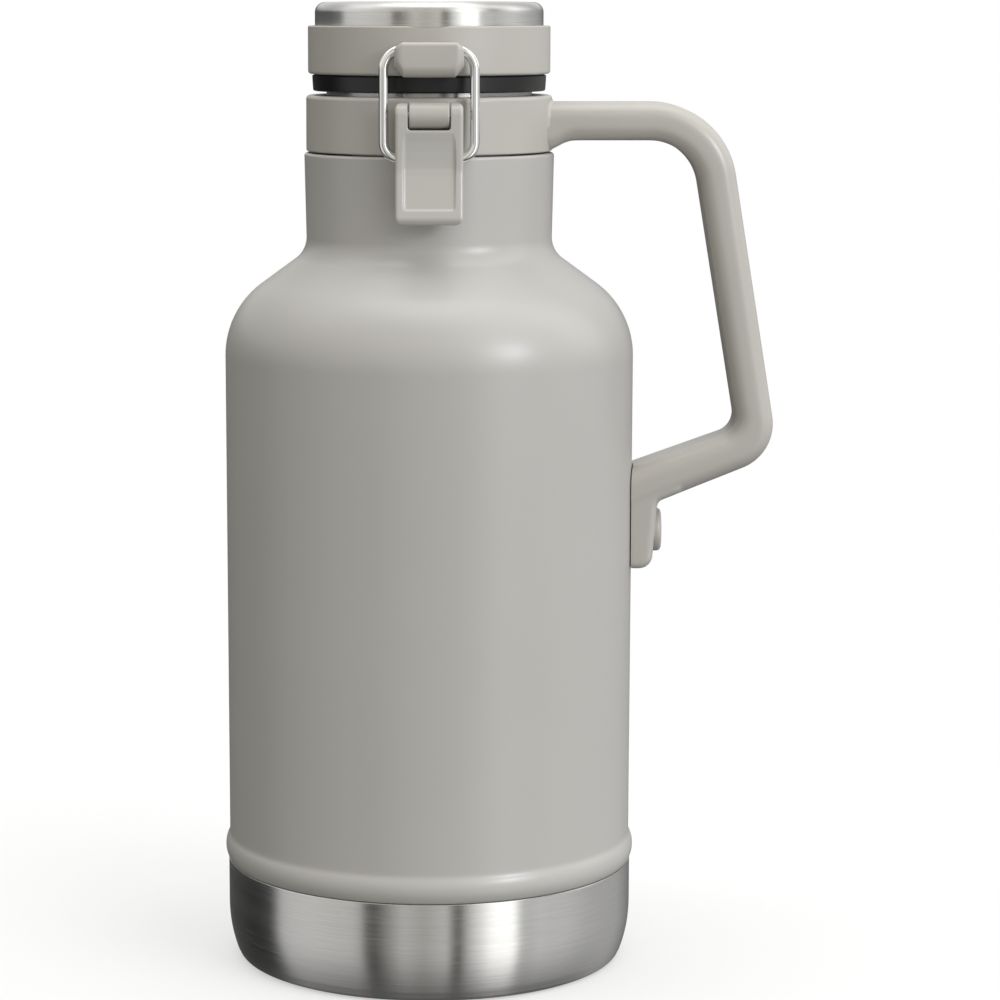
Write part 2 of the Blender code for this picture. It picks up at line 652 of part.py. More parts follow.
def make_lid_band(lid_axis):
    lid_band = turned("lid_band", BAND, ROUND_SEGS, plastic("band_plastic"))
    arm = arc(*HINGE, HINGE_KNUCKLE_R, -160, 60, 14)
    arm += [(35.2, 272.0), (33.2, 272.0), (33.2, 264.9), (35.6, 264.9)]
    knuckle = plate("lid_knuckle", arm, 'X', -BARREL_HALF, BARREL_HALF)
    dip_r = (DIP_HALF_W ** 2 + DIP_DEPTH ** 2) / (2 * DIP_DEPTH)
    dip_z = BAND_Z1 - DIP_DEPTH + dip_r
    dip = rod("band_dip", dip_r, (0, -39.0, dip_z), (0, -33.0, dip_z), 96)
    bore = hinge_hole("lid_hinge_bore")
    join(lid_band, make_lug(lid_axis), knuckle)
    cut(lid_band, dip, bore)
    hang(lid_axis, lid_band, knuckle, dip, bore)
    return lid_band


def make_lid_top_cap(lid_axis):
    round_centre = (CAP_R - CAP_ROUND, CAP_TOP_Z - CAP_ROUND)
    profile = [(0, CAP_TOP_Z)] + arc(*round_centre, CAP_ROUND, 90, 0, 5)
    profile += [(CAP_R, CAP_LOW_Z), (CAP_R - CAP_WALL, CAP_LOW_Z)]
    profile += arc(*round_centre, CAP_ROUND - CAP_WALL, 0, 90, 2) + [(0, CAP_TOP_Z - CAP_WALL)]
    hang(lid_axis, turned("lid_top_cap", profile, ROUND_SEGS, steel("cap_steel", roughness=0.3)))


def make_lid_plug(lid_axis):
    lid_plug = turned("lid_plug", PLUG, FLASK_SEGS,
                      material("plug_plastic", (0.02, 0.02, 0.02), roughness=0.4))
    hang(lid_axis, lid_plug)
    return lid_plug


def make_lid_gasket(lid_axis):
    rubber = material("gasket_rubber", (0.35, 0.35, 0.34), roughness=0.6)
    hang(lid_axis, turned("lid_gasket", GASKET, 32, rubber))


def make_lid_foam(lid_axis):
    foam = material("foam", (0.8, 0.78, 0.7), roughness=0.9)
    hang(lid_axis, turned("lid_foam", FOAM, 32, foam))


def make_lid_screws(lid_axis, lid_band, lid_plug):
    """Screws through the band's floor into the plug, the first one on +Y."""
    screw_steel = steel("lid_screw_steel", roughness=0.3)
    for i in range(LID_SCREW_COUNT):
        angle = radians(90 + 360 / LID_SCREW_COUNT * i)
        x, y = LID_SCREW_CIRCLE_R * cos(angle), LID_SCREW_CIRCLE_R * sin(angle)
        hang(lid_axis, turned(f"lid_screw_{i + 1}", LID_SCREW, 12, screw_steel, at=(x, y, 0)))
        hole = rod(f"lid_screw_hole_{i + 1}", LID_SCREW_HOLE_R, (x, y, 263.0), (x, y, 267.5), 16)
        cut(lid_band, hole)
        cut(lid_plug, hole)


# ------------------------------------------------------------------- assembly
def make_vessel():
    make_outer_shell()
    make_base_cup()
    make_base_disc()
    make_vacuum_seal()
    make_inner_flask()
    make_inner_bottom()
    make_getter()


def make_handle_and_latch():
    lever_axis = joint("latch_lever_axis", LATCH)
    bail_axis = joint("latch_bail_axis", BAIL)
    hang(lever_axis, bail_axis)
    # one bore runs through both the collar's barrel and the lever
    latch_bore = cross_rod("latch_bore", LATCH_PIN_R + 0.18, -12, 12, LATCH, 20)
    make_handle_collar(latch_bore)
    make_handle_boss()
    make_foot_washer()
    make_foot_screw()
    make_foot_screw_cap()
    make_pins()
    make_latch_lever(latch_bore, lever_axis)
    make_latch_bail(bail_axis)


def make_lid():
    lid_axis = joint("lid_hinge_axis", HINGE)
    lid_band = make_lid_band(lid_axis)
    make_lid_top_cap(lid_axis)
    lid_plug = make_lid_plug(lid_axis)
    make_lid_gasket(lid_axis)
    make_lid_foam(lid_axis)
    make_lid_screws(lid_axis, lid_band, lid_plug)


make_vessel()
make_handle_and_latch()
make_lid()

for piece in growler.objects:
    if piece.type == 'MESH':
        piece.data.shade_smooth()
        piece.data.set_sharp_from_angle(angle=radians(35))
bpy.context.view_layer.update()
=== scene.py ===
"""Insulated growler: a painted steel vessel with a plastic collar and handle, a hinged lid
and a wire-bail latch, in a studio.

The axis of the vessel is Z, with +Z up and the base at z = 0.  The latch is at the front (-Y),
the handle on +X and the lid hinge at the back (+Y).  The scene is in metres; lengths
below are in millimetres unless a comment says otherwise.
"""

from math import radians, degrees, sin, cos, tan, pi, sqrt, atan2

import bmesh
import bpy
from mathutils import Matrix, Vector


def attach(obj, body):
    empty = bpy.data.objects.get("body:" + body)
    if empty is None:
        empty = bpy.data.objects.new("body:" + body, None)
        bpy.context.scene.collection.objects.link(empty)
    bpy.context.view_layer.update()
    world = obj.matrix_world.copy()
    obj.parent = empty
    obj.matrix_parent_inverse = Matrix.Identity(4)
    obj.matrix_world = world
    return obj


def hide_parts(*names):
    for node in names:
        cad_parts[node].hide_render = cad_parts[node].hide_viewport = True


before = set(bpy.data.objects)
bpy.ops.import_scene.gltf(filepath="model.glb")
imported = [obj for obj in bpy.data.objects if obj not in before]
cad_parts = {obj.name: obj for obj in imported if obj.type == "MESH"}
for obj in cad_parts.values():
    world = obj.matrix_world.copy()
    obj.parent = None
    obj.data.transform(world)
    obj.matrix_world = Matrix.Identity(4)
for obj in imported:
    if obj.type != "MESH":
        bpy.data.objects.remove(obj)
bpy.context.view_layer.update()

# ====================================================== dimensions shared by pieces
MM = 0.001

# painted body and its shoulder
BODY_R = 60.3
SHOULDER_Z = 181.3             # where the shoulder arc meets the wall
SHOULDER_ARC_R = 26.0
SHOULDER_FILLET_R = 8.0
SLOPE = radians(36.2)          # fall of the straight part of the shoulder

# collar, handle arm and handle foot
COLLAR_R = 36.07
ARM_TOP_Z = 255.65
ARM_HALF_WIDTH = 11.0
ARM_ROUND = 4.6
FOOT_SCREW = (0.0, 128.8)      # (y, z) of an axis along X

# cross pins along X, as (y, z)
LEVER_PIN = (-39.8, 253.0)
LEVER_BORE_R = 1.28
HINGE_PIN = (41.2, 260.8)
HINGE_BORE_R = 1.45
KNUCKLE_R = 3.3

# wire bail, with its ends as (y, z)
BAIL_FOOT = (-39.3, 240.8)
BAIL_TOP = (-37.4, 271.4)
BAIL_HALF_WIDTH = 12.9
BAIL_BEND_R = 5.7
WIRE_R = 1.4

# lid
BAND_TOP_Z = 277.8
LID_SCREW_CIRCLE_R = 29.0

scene = bpy.context.scene
pieces = bpy.data.collections.new("pieces")
scene.collection.children.link(pieces)
tools = bpy.data.collections.new("tools")
scene.collection.children.link(tools)


# ================================================================== outline helpers
def arc(x, z, radius, start, end, steps):
    """Points on a circle from start to end in degrees, ends included."""
    return [(x + radius * cos(radians(start + (end - start) * i / steps)),
             z + radius * sin(radians(start + (end - start) * i / steps)))
            for i in range(steps + 1)]


def corner_arc(before, corner, after, radius, steps=None, step=None):
    """The rounding of one corner, in a number of steps or in steps of about step degrees."""
    corner = Vector(corner)
    back = (Vector(before) - corner).normalized()
    ahead = (Vector(after) - corner).normalized()
    half = back.angle(ahead) / 2
    reach = radius / tan(half)
    centre = (back + ahead).normalized() * (radius / sin(half)) + corner
    first = corner + back * reach - centre
    last = corner + ahead * reach - centre
    start = atan2(first.y, first.x)
    sweep = (atan2(last.y, last.x) - start + pi) % (2 * pi) - pi
    if steps is None:
        steps = max(2, round(abs(sweep) / radians(step)))
    return [(centre.x + radius * cos(start + sweep * i / steps),
             centre.y + radius * sin(start + sweep * i / steps)) for i in range(steps + 1)]


def rounded(corners, step):
    """A closed outline of (a, b, radius) corners; a radius of 0 leaves a corner sharp."""
    outline = []
    for i, (a, b, radius) in enumerate(corners):
        if radius <= 0:
            outline.append(tuple(Vector((a, b))))
            continue
        after = corners[(i + 1) % len(corners)]
        outline += corner_arc(corners[i - 1][:2], (a, b), after[:2], radius, step=step)
    return outline


def dense(points, longest):
    """The same path with extra points, so that no segment is longer than longest."""
    path = [points[0]]
    for start, end in zip(points, points[1:]):
        length = sqrt((end[0] - start[0]) ** 2 + (end[1] - start[1]) ** 2)
        steps = max(1, int(length / longest + 0.999))
        path += [(start[0] + (end[0] - start[0]) * i / steps,
                  start[1] + (end[1] - start[1]) * i / steps) for i in range(1, steps + 1)]
    return path


# ===================================================================== mesh helpers
def make_object(name, bm, mat=None, collection=None, fix_normals=True):
    """An object from a bmesh.  With a material it is a piece, without one a tool."""
    if fix_normals:
        bmesh.ops.recalc_face_normals(bm, faces=bm.faces)
    mesh = bpy.data.meshes.new(name)
    bm.to_mesh(mesh)
    bm.free()
    obj = bpy.data.objects.new(name, mesh)
    if collection is None:
        collection = pieces if mat else tools
    collection.objects.link(obj)
    if mat:
        mesh.materials.append(mat)
    return obj


def bake(obj):
    """Replaces an object's mesh with its evaluated mesh and drops the modifiers."""
    depsgraph = bpy.context.evaluated_depsgraph_get()
    depsgraph.update()
    mesh = bpy.data.meshes.new_from_object(obj.evaluated_get(depsgraph))
    obj.modifiers.clear()
    obj.data = mesh


def shade(obj, sharp):
    """Smooth shading, with edges steeper than sharp degrees left hard."""
    obj.data.shade_smooth()
    obj.data.set_sharp_from_angle(angle=radians(sharp))


def round_edges(obj, width, segments, limit=50):
    """Rounds the edges steeper than limit degrees."""
    bevel = obj.modifiers.new("Edges", 'BEVEL')
    bevel.width = width * MM
    bevel.segments = segments
    bevel.limit_method = 'ANGLE'
    bevel.angle_limit = radians(limit)
    bake(obj)


def lathe(name, profile, sides, mat, closed=True):
    """A profile of (radius, z) turned round Z.

    closed=True joins the profile's ends; closed=False has its ends on the axis.
    """
    bm = bmesh.new()
    rings = []
    for radius, z in profile:
        if radius < 1e-6:
            rings.append([bm.verts.new((0.0, 0.0, z * MM))] * sides)
        else:
            rings.append([bm.verts.new((radius * sin(2 * pi * i / sides) * MM,
                                        -radius * cos(2 * pi * i / sides) * MM, z * MM))
                          for i in range(sides)])
    pairs = list(zip(rings, rings[1:]))
    if closed:
        pairs.append((rings[-1], rings[0]))
    for ring, following in pairs:
        for i in range(sides):
            j = (i + 1) % sides
            face = []
            for vert in (ring[i], following[i], following[j], ring[j]):
                if vert not in face:
                    face.append(vert)
            if len(face) > 2:
                bm.faces.new(face)
    obj = make_object(name, bm, mat)
    shade(obj, sharp=32)
    return obj


def loft(name, sections, mat=None):
    """A capped skin over matching closed sections, whose points are in metres."""
    bm = bmesh.new()
    loops = [[bm.verts.new(point) for point in section] for section in sections]
    for loop, following in zip(loops, loops[1:]):
        for i in range(len(loop)):
            j = (i + 1) % len(loop)
            bm.faces.new((loop[i], loop[j], following[j], following[i]))
    bm.faces.new(loops[0][::-1])
    bm.faces.new(loops[-1])
    return make_object(name, bm, mat)


def slab(name, outline, axis, low, high, mat=None, round_mm=0.0, segments=5, limit=50):
    """A flat outline given thickness along one axis, its rims rounded.

    axis 'Y': outline is (x, z).  axis 'X': outline is (y, z).
    """
    def place(a, b, depth):
        return (a * MM, depth * MM, b * MM) if axis == 'Y' else (depth * MM, a * MM, b * MM)

    bm = bmesh.new()
    bottom = [bm.verts.new(place(a, b, low)) for a, b in outline]
    top = [bm.verts.new(place(a, b, high)) for a, b in outline]
    bm.faces.new(bottom)
    bm.faces.new(top[::-1])
    for i in range(len(outline)):
        j = (i + 1) % len(outline)
        bm.faces.new((bottom[j], bottom[i], top[i], top[j]))
    obj = make_object(name, bm, mat)
    obj.data.shade_smooth()
    if round_mm > 0:
        round_edges(obj, round_mm, segments, limit)
    return obj


def rod(name, radius, start, end, sides, mat=None, round_mm=0.0):
    """A round bar between two points, with rounded or sharp end rims."""
    start, end = Vector(start) * MM, Vector(end) * MM
    bm = bmesh.new()
    bmesh.ops.create_cone(bm, cap_ends=True, segments=sides, radius1=radius * MM,
                          radius2=radius * MM, depth=(end - start).length)
    turn = (end - start).to_track_quat('Z', 'Y').to_matrix().to_4x4()
    bmesh.ops.transform(bm, matrix=Matrix.Translation((start + end) / 2) @ turn, verts=bm.verts)
    obj = make_object(name, bm, mat, fix_normals=False)
    if round_mm > 0:
        obj.data.shade_smooth()
        round_edges(obj, round_mm, segments=4)
    else:
        shade(obj, sharp=40)
    return obj


def cross_rod(name, radius, centre, start, end, sides, **options):
    """A rod along X from start to end, centred on (y, z)."""
    return rod(name, radius, (start, *centre), (end, *centre), sides, **options)


def block(name, low, high, round_mm):
    """A box between two opposite corners, its edges rounded."""
    bm = bmesh.new()
    bmesh.ops.create_cube(bm, size=1.0)
    for vert in bm.verts:
        vert.co = [((top + bottom) / 2 + side * (top - bottom)) * MM
                   for side, bottom, top in zip(vert.co, low, high)]
    obj = make_object(name, bm, fix_normals=False)
    round_edges(obj, round_mm, segments=4)
    return obj


def boolean(obj, operation, *others):
    """Combines an object with each tool in turn, and removes the tools."""
    for other in others:
        mod = obj.modifiers.new("Boolean", 'BOOLEAN')
        mod.operation = operation
        mod.solver = 'EXACT'
        mod.object = other
        bake(obj)
        bpy.data.objects.remove(other)


def join(obj, *others):
    boolean(obj, 'UNION', *others)


def cut(obj, *others):
    boolean(obj, 'DIFFERENCE', *others)


def melt(obj, voxel_mm, rounds, keep):
    """Re-skins a piece evenly and relaxes it, which leaves the soft edges of a moulding."""
    mod = obj.modifiers.new("Skin", 'REMESH')
    mod.mode = 'VOXEL'
    mod.voxel_size = voxel_mm * MM
    bake(obj)
    mod = obj.modifiers.new("Relax", 'SMOOTH')
    mod.factor = 0.5
    mod.iterations = rounds
    bake(obj)
    mod = obj.modifiers.new("Lighten", 'DECIMATE')
    mod.ratio = keep
    bake(obj)
    obj.data.shade_smooth()


def even_normals(obj):
    """Face-area weighted normals, which keep flat faces flat beside small roundings."""
    mod = obj.modifiers.new("Normals", 'WEIGHTED_NORMAL')
    mod.mode = 'FACE_AREA'
    mod.weight = 50
    mod.keep_sharp = True


# ================================================================= shader node helpers
def toned(colour, factor):
    """A colour made darker or lighter by a factor."""
    return tuple(min(1.0, channel * factor) for channel in colour)


class Nodes:
    """Adds and links the nodes of one tree.  Values may be numbers or sockets."""

    def __init__(self, tree):
        self.tree = tree

    def node(self, kind, **props):
        made = self.tree.nodes.new(kind)
        for key, value in props.items():
            setattr(made, key, value)
        return made

    def link(self, output, socket):
        self.tree.links.new(output, socket)

    def math(self, operation, *values):
        made = self.node("ShaderNodeMath", operation=operation)
        for i, value in enumerate(values):
            if isinstance(value, (int, float)):
                made.inputs[i].default_value = value
            else:
                self.link(value, made.inputs[i])
        return made.outputs["Value"]

    def ranged(self, value, span=(0.3, 0.7), to=(0.0, 1.0), smooth=False):
        """Maps the values of span onto those of to."""
        made = self.node("ShaderNodeMapRange")
        if smooth:
            made.interpolation_type = 'SMOOTHSTEP'
        made.inputs["From Min"].default_value = span[0]
        made.inputs["From Max"].default_value = span[1]
        made.inputs["To Min"].default_value = to[0]
        made.inputs["To Max"].default_value = to[1]
        self.link(value, made.inputs["Value"])
        return made.outputs["Result"]


class Mat(Nodes):
    """A Principled material wired from procedural nodes."""

    SOCKETS = {"base": "Base Color", "rough": "Roughness", "metal": "Metallic",
               "normal": "Normal", "aniso": "Anisotropic", "turn": "Anisotropic Rotation",
               "tangent": "Tangent", "spec": "Specular IOR Level", "coat": "Coat Weight",
               "coat_rough": "Coat Roughness", "sheen": "Sheen Weight"}

    def __init__(self, name):
        self.mat = bpy.data.materials.new(name)
        self.mat.use_nodes = True
        super().__init__(self.mat.node_tree)
        self.bsdf = self.tree.nodes["Principled BSDF"]
        self.coord = self.node("ShaderNodeTexCoord").outputs["Object"]

    def stretch(self, vector, scale):
        made = self.node("ShaderNodeMapping")
        made.inputs["Scale"].default_value = scale
        self.link(vector, made.inputs["Vector"])
        return made.outputs["Vector"]

    def noise(self, scale, detail=2.0, rough=0.5, vector=None, distortion=0.0):
        made = self.node("ShaderNodeTexNoise")
        made.inputs["Scale"].default_value = scale
        made.inputs["Detail"].default_value = detail
        made.inputs["Roughness"].default_value = rough
        made.inputs["Distortion"].default_value = distortion
        self.link(vector or self.coord, made.inputs["Vector"])
        return made.outputs["Fac"]

    def weighted(self, first, second, weights):
        """The sum of two values, each times its weight."""
        return self.math('ADD', self.math('MULTIPLY', first, weights[0]),
                         self.math('MULTIPLY', second, weights[1]))

    def mix(self, fac, low, high):
        made = self.node("ShaderNodeMix", data_type='RGBA')
        # the factor is socket 0, and the two colours are sockets 6 and 7
        for slot, value in ((0, fac), (6, low), (7, high)):
            if isinstance(value, tuple):
                made.inputs[slot].default_value = (*value, 1.0)
            else:
                self.link(value, made.inputs[slot])
        return made.outputs[2]

    def varied(self, value, colour, dark, light, **options):
        """A colour that goes from its dark to its light tone with a value."""
        return self.mix(self.ranged(value, **options), toned(colour, dark), toned(colour, light))

    def bump(self, height, strength, distance_mm, normal=None):
        made = self.node("ShaderNodeBump")
        made.inputs["Strength"].default_value = strength
        made.inputs["Distance"].default_value = distance_mm * MM
        self.link(height, made.inputs["Height"])
        if normal is not None:
            self.link(normal, made.inputs["Normal"])
        return made.outputs["Normal"]

    def set(self, **values):
        for key, value in values.items():
            socket = self.bsdf.inputs[self.SOCKETS[key]]
            if isinstance(value, (int, float)):
                socket.default_value = value
            else:
                self.link(value, socket)

    def axis_coordinates(self):
        """x, y, z and the distance from the Z axis, in metres."""
        split = self.node("ShaderNodeSeparateXYZ")
        self.link(self.coord, split.inputs[0])
        x, y, z = split.outputs
        radius = self.math('SQRT', self.math('ADD', self.math('MULTIPLY', x, x),
                                             self.math('MULTIPLY', y, y)))
        return x, y, z, radius


# ======================================================================== materials
def powder_coat(name, colour, rough):
    """Satin powder paint: fine orange peel, faint tone changes, slightly uneven gloss."""
    m = Mat(name)
    cloud = m.noise(scale=9.0, detail=3.0, rough=0.55)
    fine = m.noise(scale=1900.0, rough=0.6)
    peel = m.noise(scale=620.0)
    speck = m.noise(scale=3600.0, detail=1.0)
    base = m.varied(cloud, colour, dark=0.98, light=1.02, smooth=True)
    fleck = m.ranged(speck, span=(0.62, 0.80), to=(0.0, 0.10), smooth=True)
    base = m.mix(fleck, base, toned(colour, factor=1.16))
    gloss = m.noise(scale=60.0, detail=3.0, rough=0.6)
    m.set(base=base, metal=0.0, spec=0.5,
          rough=m.ranged(gloss, span=(0.25, 0.75), to=(rough - 0.03, rough + 0.04)))
    normal = m.bump(peel, strength=0.35, distance_mm=0.012)
    m.set(normal=m.bump(fine, strength=0.45, distance_mm=0.006, normal=normal))
    return m.mat


def moulded(name, colour, rough, spec=0.5, tone=0.018, grain=1.0):
    """Injection-moulded plastic: spark-eroded grain, faint flow tone, soft gloss changes."""
    m = Mat(name)
    cloud = m.noise(scale=24.0, detail=3.0, distortion=0.4)
    grit = m.noise(scale=2600.0, rough=0.65)
    wave = m.noise(scale=140.0)
    base = m.varied(cloud, colour, dark=1 - tone, light=1 + tone, smooth=True)
    gloss = m.noise(scale=95.0, detail=3.0, rough=0.6)
    m.set(base=base, metal=0.0, spec=spec, coat=0.0, coat_rough=0.2,
          rough=m.ranged(gloss, span=(0.25, 0.75), to=(rough - 0.035, rough + 0.045)))
    normal = m.bump(wave, strength=0.12 * grain, distance_mm=0.01)
    m.set(normal=m.bump(grit, strength=0.35 * grain, distance_mm=0.005, normal=normal))
    return m.mat


def turned_steel(name, colour=(0.70, 0.694, 0.677), rough=0.245, aniso=1.0, streak=1.0):
    """Stainless brushed round its axis: long hair lines, spread across them, faint blotches."""
    m = Mat(name)
    x, y, z, radius = m.axis_coordinates()
    across = m.math('ADD', z, radius)
    comb = m.node("ShaderNodeCombineXYZ")
    for i, value in enumerate((x, y, across)):
        m.link(value, comb.inputs[i])
    brushed = comb.outputs[0]
    lines = m.noise(scale=1.0, detail=3.0, rough=0.7,
                    vector=m.stretch(brushed, scale=(22.0, 22.0, 4200.0)))
    broad = m.noise(scale=1.0, rough=0.6, vector=m.stretch(brushed, scale=(14.0, 14.0, 900.0)))
    short = m.noise(scale=1.0, rough=0.6, vector=m.stretch(brushed, scale=(60.0, 60.0, 2600.0)))
    blotch = m.noise(scale=28.0, detail=3.0, rough=0.6)
    tint = m.weighted(lines, short, weights=(0.5, 0.5))
    base = m.varied(tint, colour, dark=0.93, light=1.07)
    base = m.mix(m.ranged(blotch, span=(0.35, 0.75), to=(0.0, 0.10)), base,
                 toned(colour, factor=0.93))
    rough_map = m.math('ADD', m.ranged(lines, to=(rough - 0.02, rough + 0.02)),
                       m.ranged(broad, to=(-0.02, 0.02)))
    tangent = m.node("ShaderNodeTangent", direction_type='RADIAL', axis='Z')
    m.set(base=base, metal=1.0, rough=rough_map, aniso=aniso, turn=0.25,
          tangent=tangent.outputs[0])
    height = m.weighted(lines, short, weights=(0.7, 0.5))
    m.set(normal=m.bump(height, strength=0.09 * streak, distance_mm=0.004))
    return m.mat


def drawn_metal(name, colour, rough, tone=0.03, strength=0.12):
    """Plain drawn or plated metal: faint marks and a slightly uneven polish."""
    m = Mat(name)
    marks = m.noise(scale=400.0, detail=3.0, rough=0.6)
    haze = m.noise(scale=90.0, rough=0.6)
    m.set(base=m.varied(haze, colour, dark=1 - tone, light=1 + tone), metal=1.0,
          rough=m.ranged(marks, span=(0.25, 0.75), to=(rough - 0.04, rough + 0.05)),
          normal=m.bump(marks, strength=strength, distance_mm=0.003))
    return m.mat


def rubber(name, colour):
    """Silicone or rubber: matt, with a dusty sheen."""
    m = Mat(name)
    grit = m.noise(scale=1500.0, detail=3.0, rough=0.6)
    m.set(base=m.varied(m.noise(scale=60.0), colour, dark=0.96, light=1.05), metal=0.0,
          rough=m.ranged(grit, span=(0.25, 0.75), to=(0.57, 0.68)), sheen=0.15,
          normal=m.bump(grit, strength=0.3, distance_mm=0.01))
    return m.mat


def foam(name, colour):
    """Matt foam with small cells, the pit of each cell painted darker as shade."""
    m = Mat(name)
    cells = m.node("ShaderNodeTexVoronoi")
    cells.inputs["Scale"].default_value = 1400.0
    m.link(m.coord, cells.inputs["Vector"])
    distance = cells.outputs["Distance"]
    # painted shade: the colour darkens towards each cell's centre, just where the bump sinks a pit
    m.set(base=m.varied(distance, colour, dark=0.7, light=1.0, span=(0.0, 0.7)), rough=0.95,
          normal=m.bump(distance, strength=0.8, distance_mm=0.15))
    return m.mat


def glassy(name, colour):
    """Dark glass with a faint swirl and a clear coat."""
    m = Mat(name)
    swirl = m.noise(scale=500.0, detail=3.0, rough=0.6, distortion=0.6)
    m.set(base=m.varied(swirl, colour, dark=0.8, light=1.15),
          rough=m.ranged(swirl, to=(0.12, 0.2)), coat=0.4,
          normal=m.bump(swirl, strength=0.2, distance_mm=0.02))
    return m.mat


def sintered(name, colour):
    """Dull, grainy pressed metal."""
    m = Mat(name)
    grains = m.noise(scale=1800.0, detail=4.0, rough=0.75)
    m.set(base=m.varied(grains, colour, dark=0.75, light=1.25), metal=0.7,
          rough=m.ranged(grains, to=(0.55, 0.75)),
          normal=m.bump(grains, strength=0.7, distance_mm=0.03))
    return m.mat


PAINT_RGB = (0.415, 0.405, 0.378)
PLASTIC_RGB = (0.425, 0.408, 0.372)
LEVER_RGB = (0.43, 0.417, 0.385)

paint = powder_coat("paint_grey", PAINT_RGB, rough=0.32)
plastic = moulded("plastic_grey", PLASTIC_RGB, rough=0.32)
band_plastic = moulded("plastic_band", PLASTIC_RGB, rough=0.36)
lever_plastic = moulded("plastic_lever", LEVER_RGB, rough=0.23, grain=0.5)
black_plastic = moulded("plastic_black", colour=(0.006, 0.006, 0.0062), rough=0.32, spec=0.45,
                        tone=0.15)
base_steel = turned_steel("steel_base")
cap_steel = turned_steel("steel_cap", rough=0.25)
mouth_steel = turned_steel("steel_mouth", rough=0.26, streak=0.6)
inside_steel = turned_steel("steel_inside", colour=(0.58, 0.575, 0.56), rough=0.36, aniso=0.6,
                            streak=0.6)
disc_steel = turned_steel("steel_disc", rough=0.36, aniso=0.7)
wire_chrome = drawn_metal("wire_chrome", colour=(0.86, 0.86, 0.855), rough=0.12, tone=0.01,
                          strength=0.05)
pin_metal = drawn_metal("steel_pins", colour=(0.60, 0.595, 0.58), rough=0.2)
screw_metal = drawn_metal("steel_screws", colour=(0.55, 0.545, 0.53), rough=0.26)
washer_metal = turned_steel("steel_washer", rough=0.3, aniso=0.3)
gasket_rubber = rubber("silicone_seal", colour=(0.30, 0.30, 0.29))
foam_white = foam("foam_core", colour=(0.80, 0.77, 0.68))
seal_glass = glassy("glass_seal", colour=(0.10, 0.105, 0.10))
getter_metal = sintered("getter_metal", colour=(0.20, 0.20, 0.205))


# =========================================================================== vessel
def slope_foot_r(body_r, arc_r):
    """The radius at which the straight slope runs into the shoulder arc."""
    return body_r - arc_r + arc_r * sin(SLOPE)


def shoulder(neck_r, arc_r, body_r, arc_end_z, fillet_r, fillet_steps, arc_steps):
    """Neck fillet, straight slope and convex arc, top to bottom."""
    slope_foot_z = arc_end_z + arc_r * cos(SLOPE)
    meet_z = slope_foot_z + (slope_foot_r(body_r, arc_r) - neck_r) * tan(SLOPE)
    reach = fillet_r * tan((pi / 2 - SLOPE) / 2)
    points = arc(neck_r + fillet_r, meet_z + reach, fillet_r, 180, 180 + 90 - degrees(SLOPE),
                 fillet_steps)
    return points + arc(body_r - arc_r, arc_end_z, arc_r, 90 - degrees(SLOPE), 0, arc_steps)


def build_shell():
    """Painted outer wall, from the neck down to a raised bead above the base cup."""
    neck_top_r, neck_low_r, neck_top_z = 36.66, 36.15, 240.95
    hole_r = 30.9
    rim_round = 0.9
    thickness = 0.7
    wall_r = 60.15
    bead_z, bead_half, bead_rise = 33.6, 3.85, 1.2

    outer = [(hole_r, neck_top_z), (neck_top_r - 1.0, neck_top_z)]
    outer += arc(neck_top_r - rim_round, neck_top_z - rim_round, rim_round, 84, 0, 7)
    outer += shoulder(neck_low_r, SHOULDER_ARC_R, BODY_R, SHOULDER_Z, SHOULDER_FILLET_R, 16, 30)
    outer = dense(outer, 12.0)

    bead_r = (bead_half ** 2 + bead_rise ** 2) / (2 * bead_rise)
    bead_angle = degrees(2 * atan2(bead_rise, bead_half))
    bead = arc(wall_r + bead_rise - bead_r, bead_z, bead_r, bead_angle, -bead_angle, 18)
    bead_top = bead_z + bead_half
    # a small root radius where the wall runs into the bead
    root = [(wall_r, bead_top + 1.2), (60.17, bead_top + 0.6), (60.24, bead_top + 0.15)]
    outer += dense([outer[-1], (wall_r, bead_top + 3.0)], 14.0)[1:] + root + bead[1:-1]
    outer += [(wall_r, 29.85), (59.9, 29.75), (59.55, 29.75)]

    inner_r = BODY_R - thickness
    inner = [(59.5, 30.2), (59.45, 60.0), (inner_r, SHOULDER_Z)]
    inner += shoulder(neck_low_r - thickness, SHOULDER_ARC_R - thickness, inner_r, SHOULDER_Z,
                      SHOULDER_FILLET_R + thickness, 6, 10)[::-1]
    inner += [(neck_top_r - 0.9, 236.0), (neck_top_r - 1.2, neck_top_z - thickness),
              (hole_r, neck_top_z - thickness)]
    shell = lathe("shell", outer + inner, 256, paint)
    even_normals(shell)
    return shell


def build_base():
    """Bare steel cup below the bead, its wall curving in to a rounded foot."""
    curve_top_z, curve_drop, curve_in, curve_power = 17.0, 14.5, 2.4, 2.2
    outer_r, inner_r = 60.5, 59.7
    foot_r, foot_z, foot_round = 55.3, 2.5, 2.5
    hole_r = 2.6

    def curve(radius, steps):
        points = []
        for i in range(steps + 1):
            z = curve_top_z - curve_drop * i / steps
            points.append((radius - curve_in * ((curve_top_z - z) / curve_drop) ** curve_power, z))
        return points

    outer = [(59.2, 33.95), (59.2, 29.69), (60.1, 29.69), (60.36, 29.6), (60.5, 29.35)]
    outer += curve(outer_r, 12)
    outer += [(57.7, 1.9)] + arc(foot_r, foot_z, foot_round, -14, -90, 8)[1:]
    outer += arc(50.3, 0.9, 0.9, 270, 205, 4)
    outer += [(48.9, 1.15), (47.9, 1.2), (hole_r, 1.2)]
    inner = [(58.4, 33.95), (58.4, 28.4), (inner_r, 27.05)]
    inner += curve(inner_r, 6)
    inner += arc(foot_r, foot_z, 1.7, -30, -90, 3) + [(50.0, 0.8), (49.2, 2.0), (hole_r, 2.0)]
    base = lathe("base", outer + inner[::-1], 256, base_steel)
    even_normals(base)
    return base


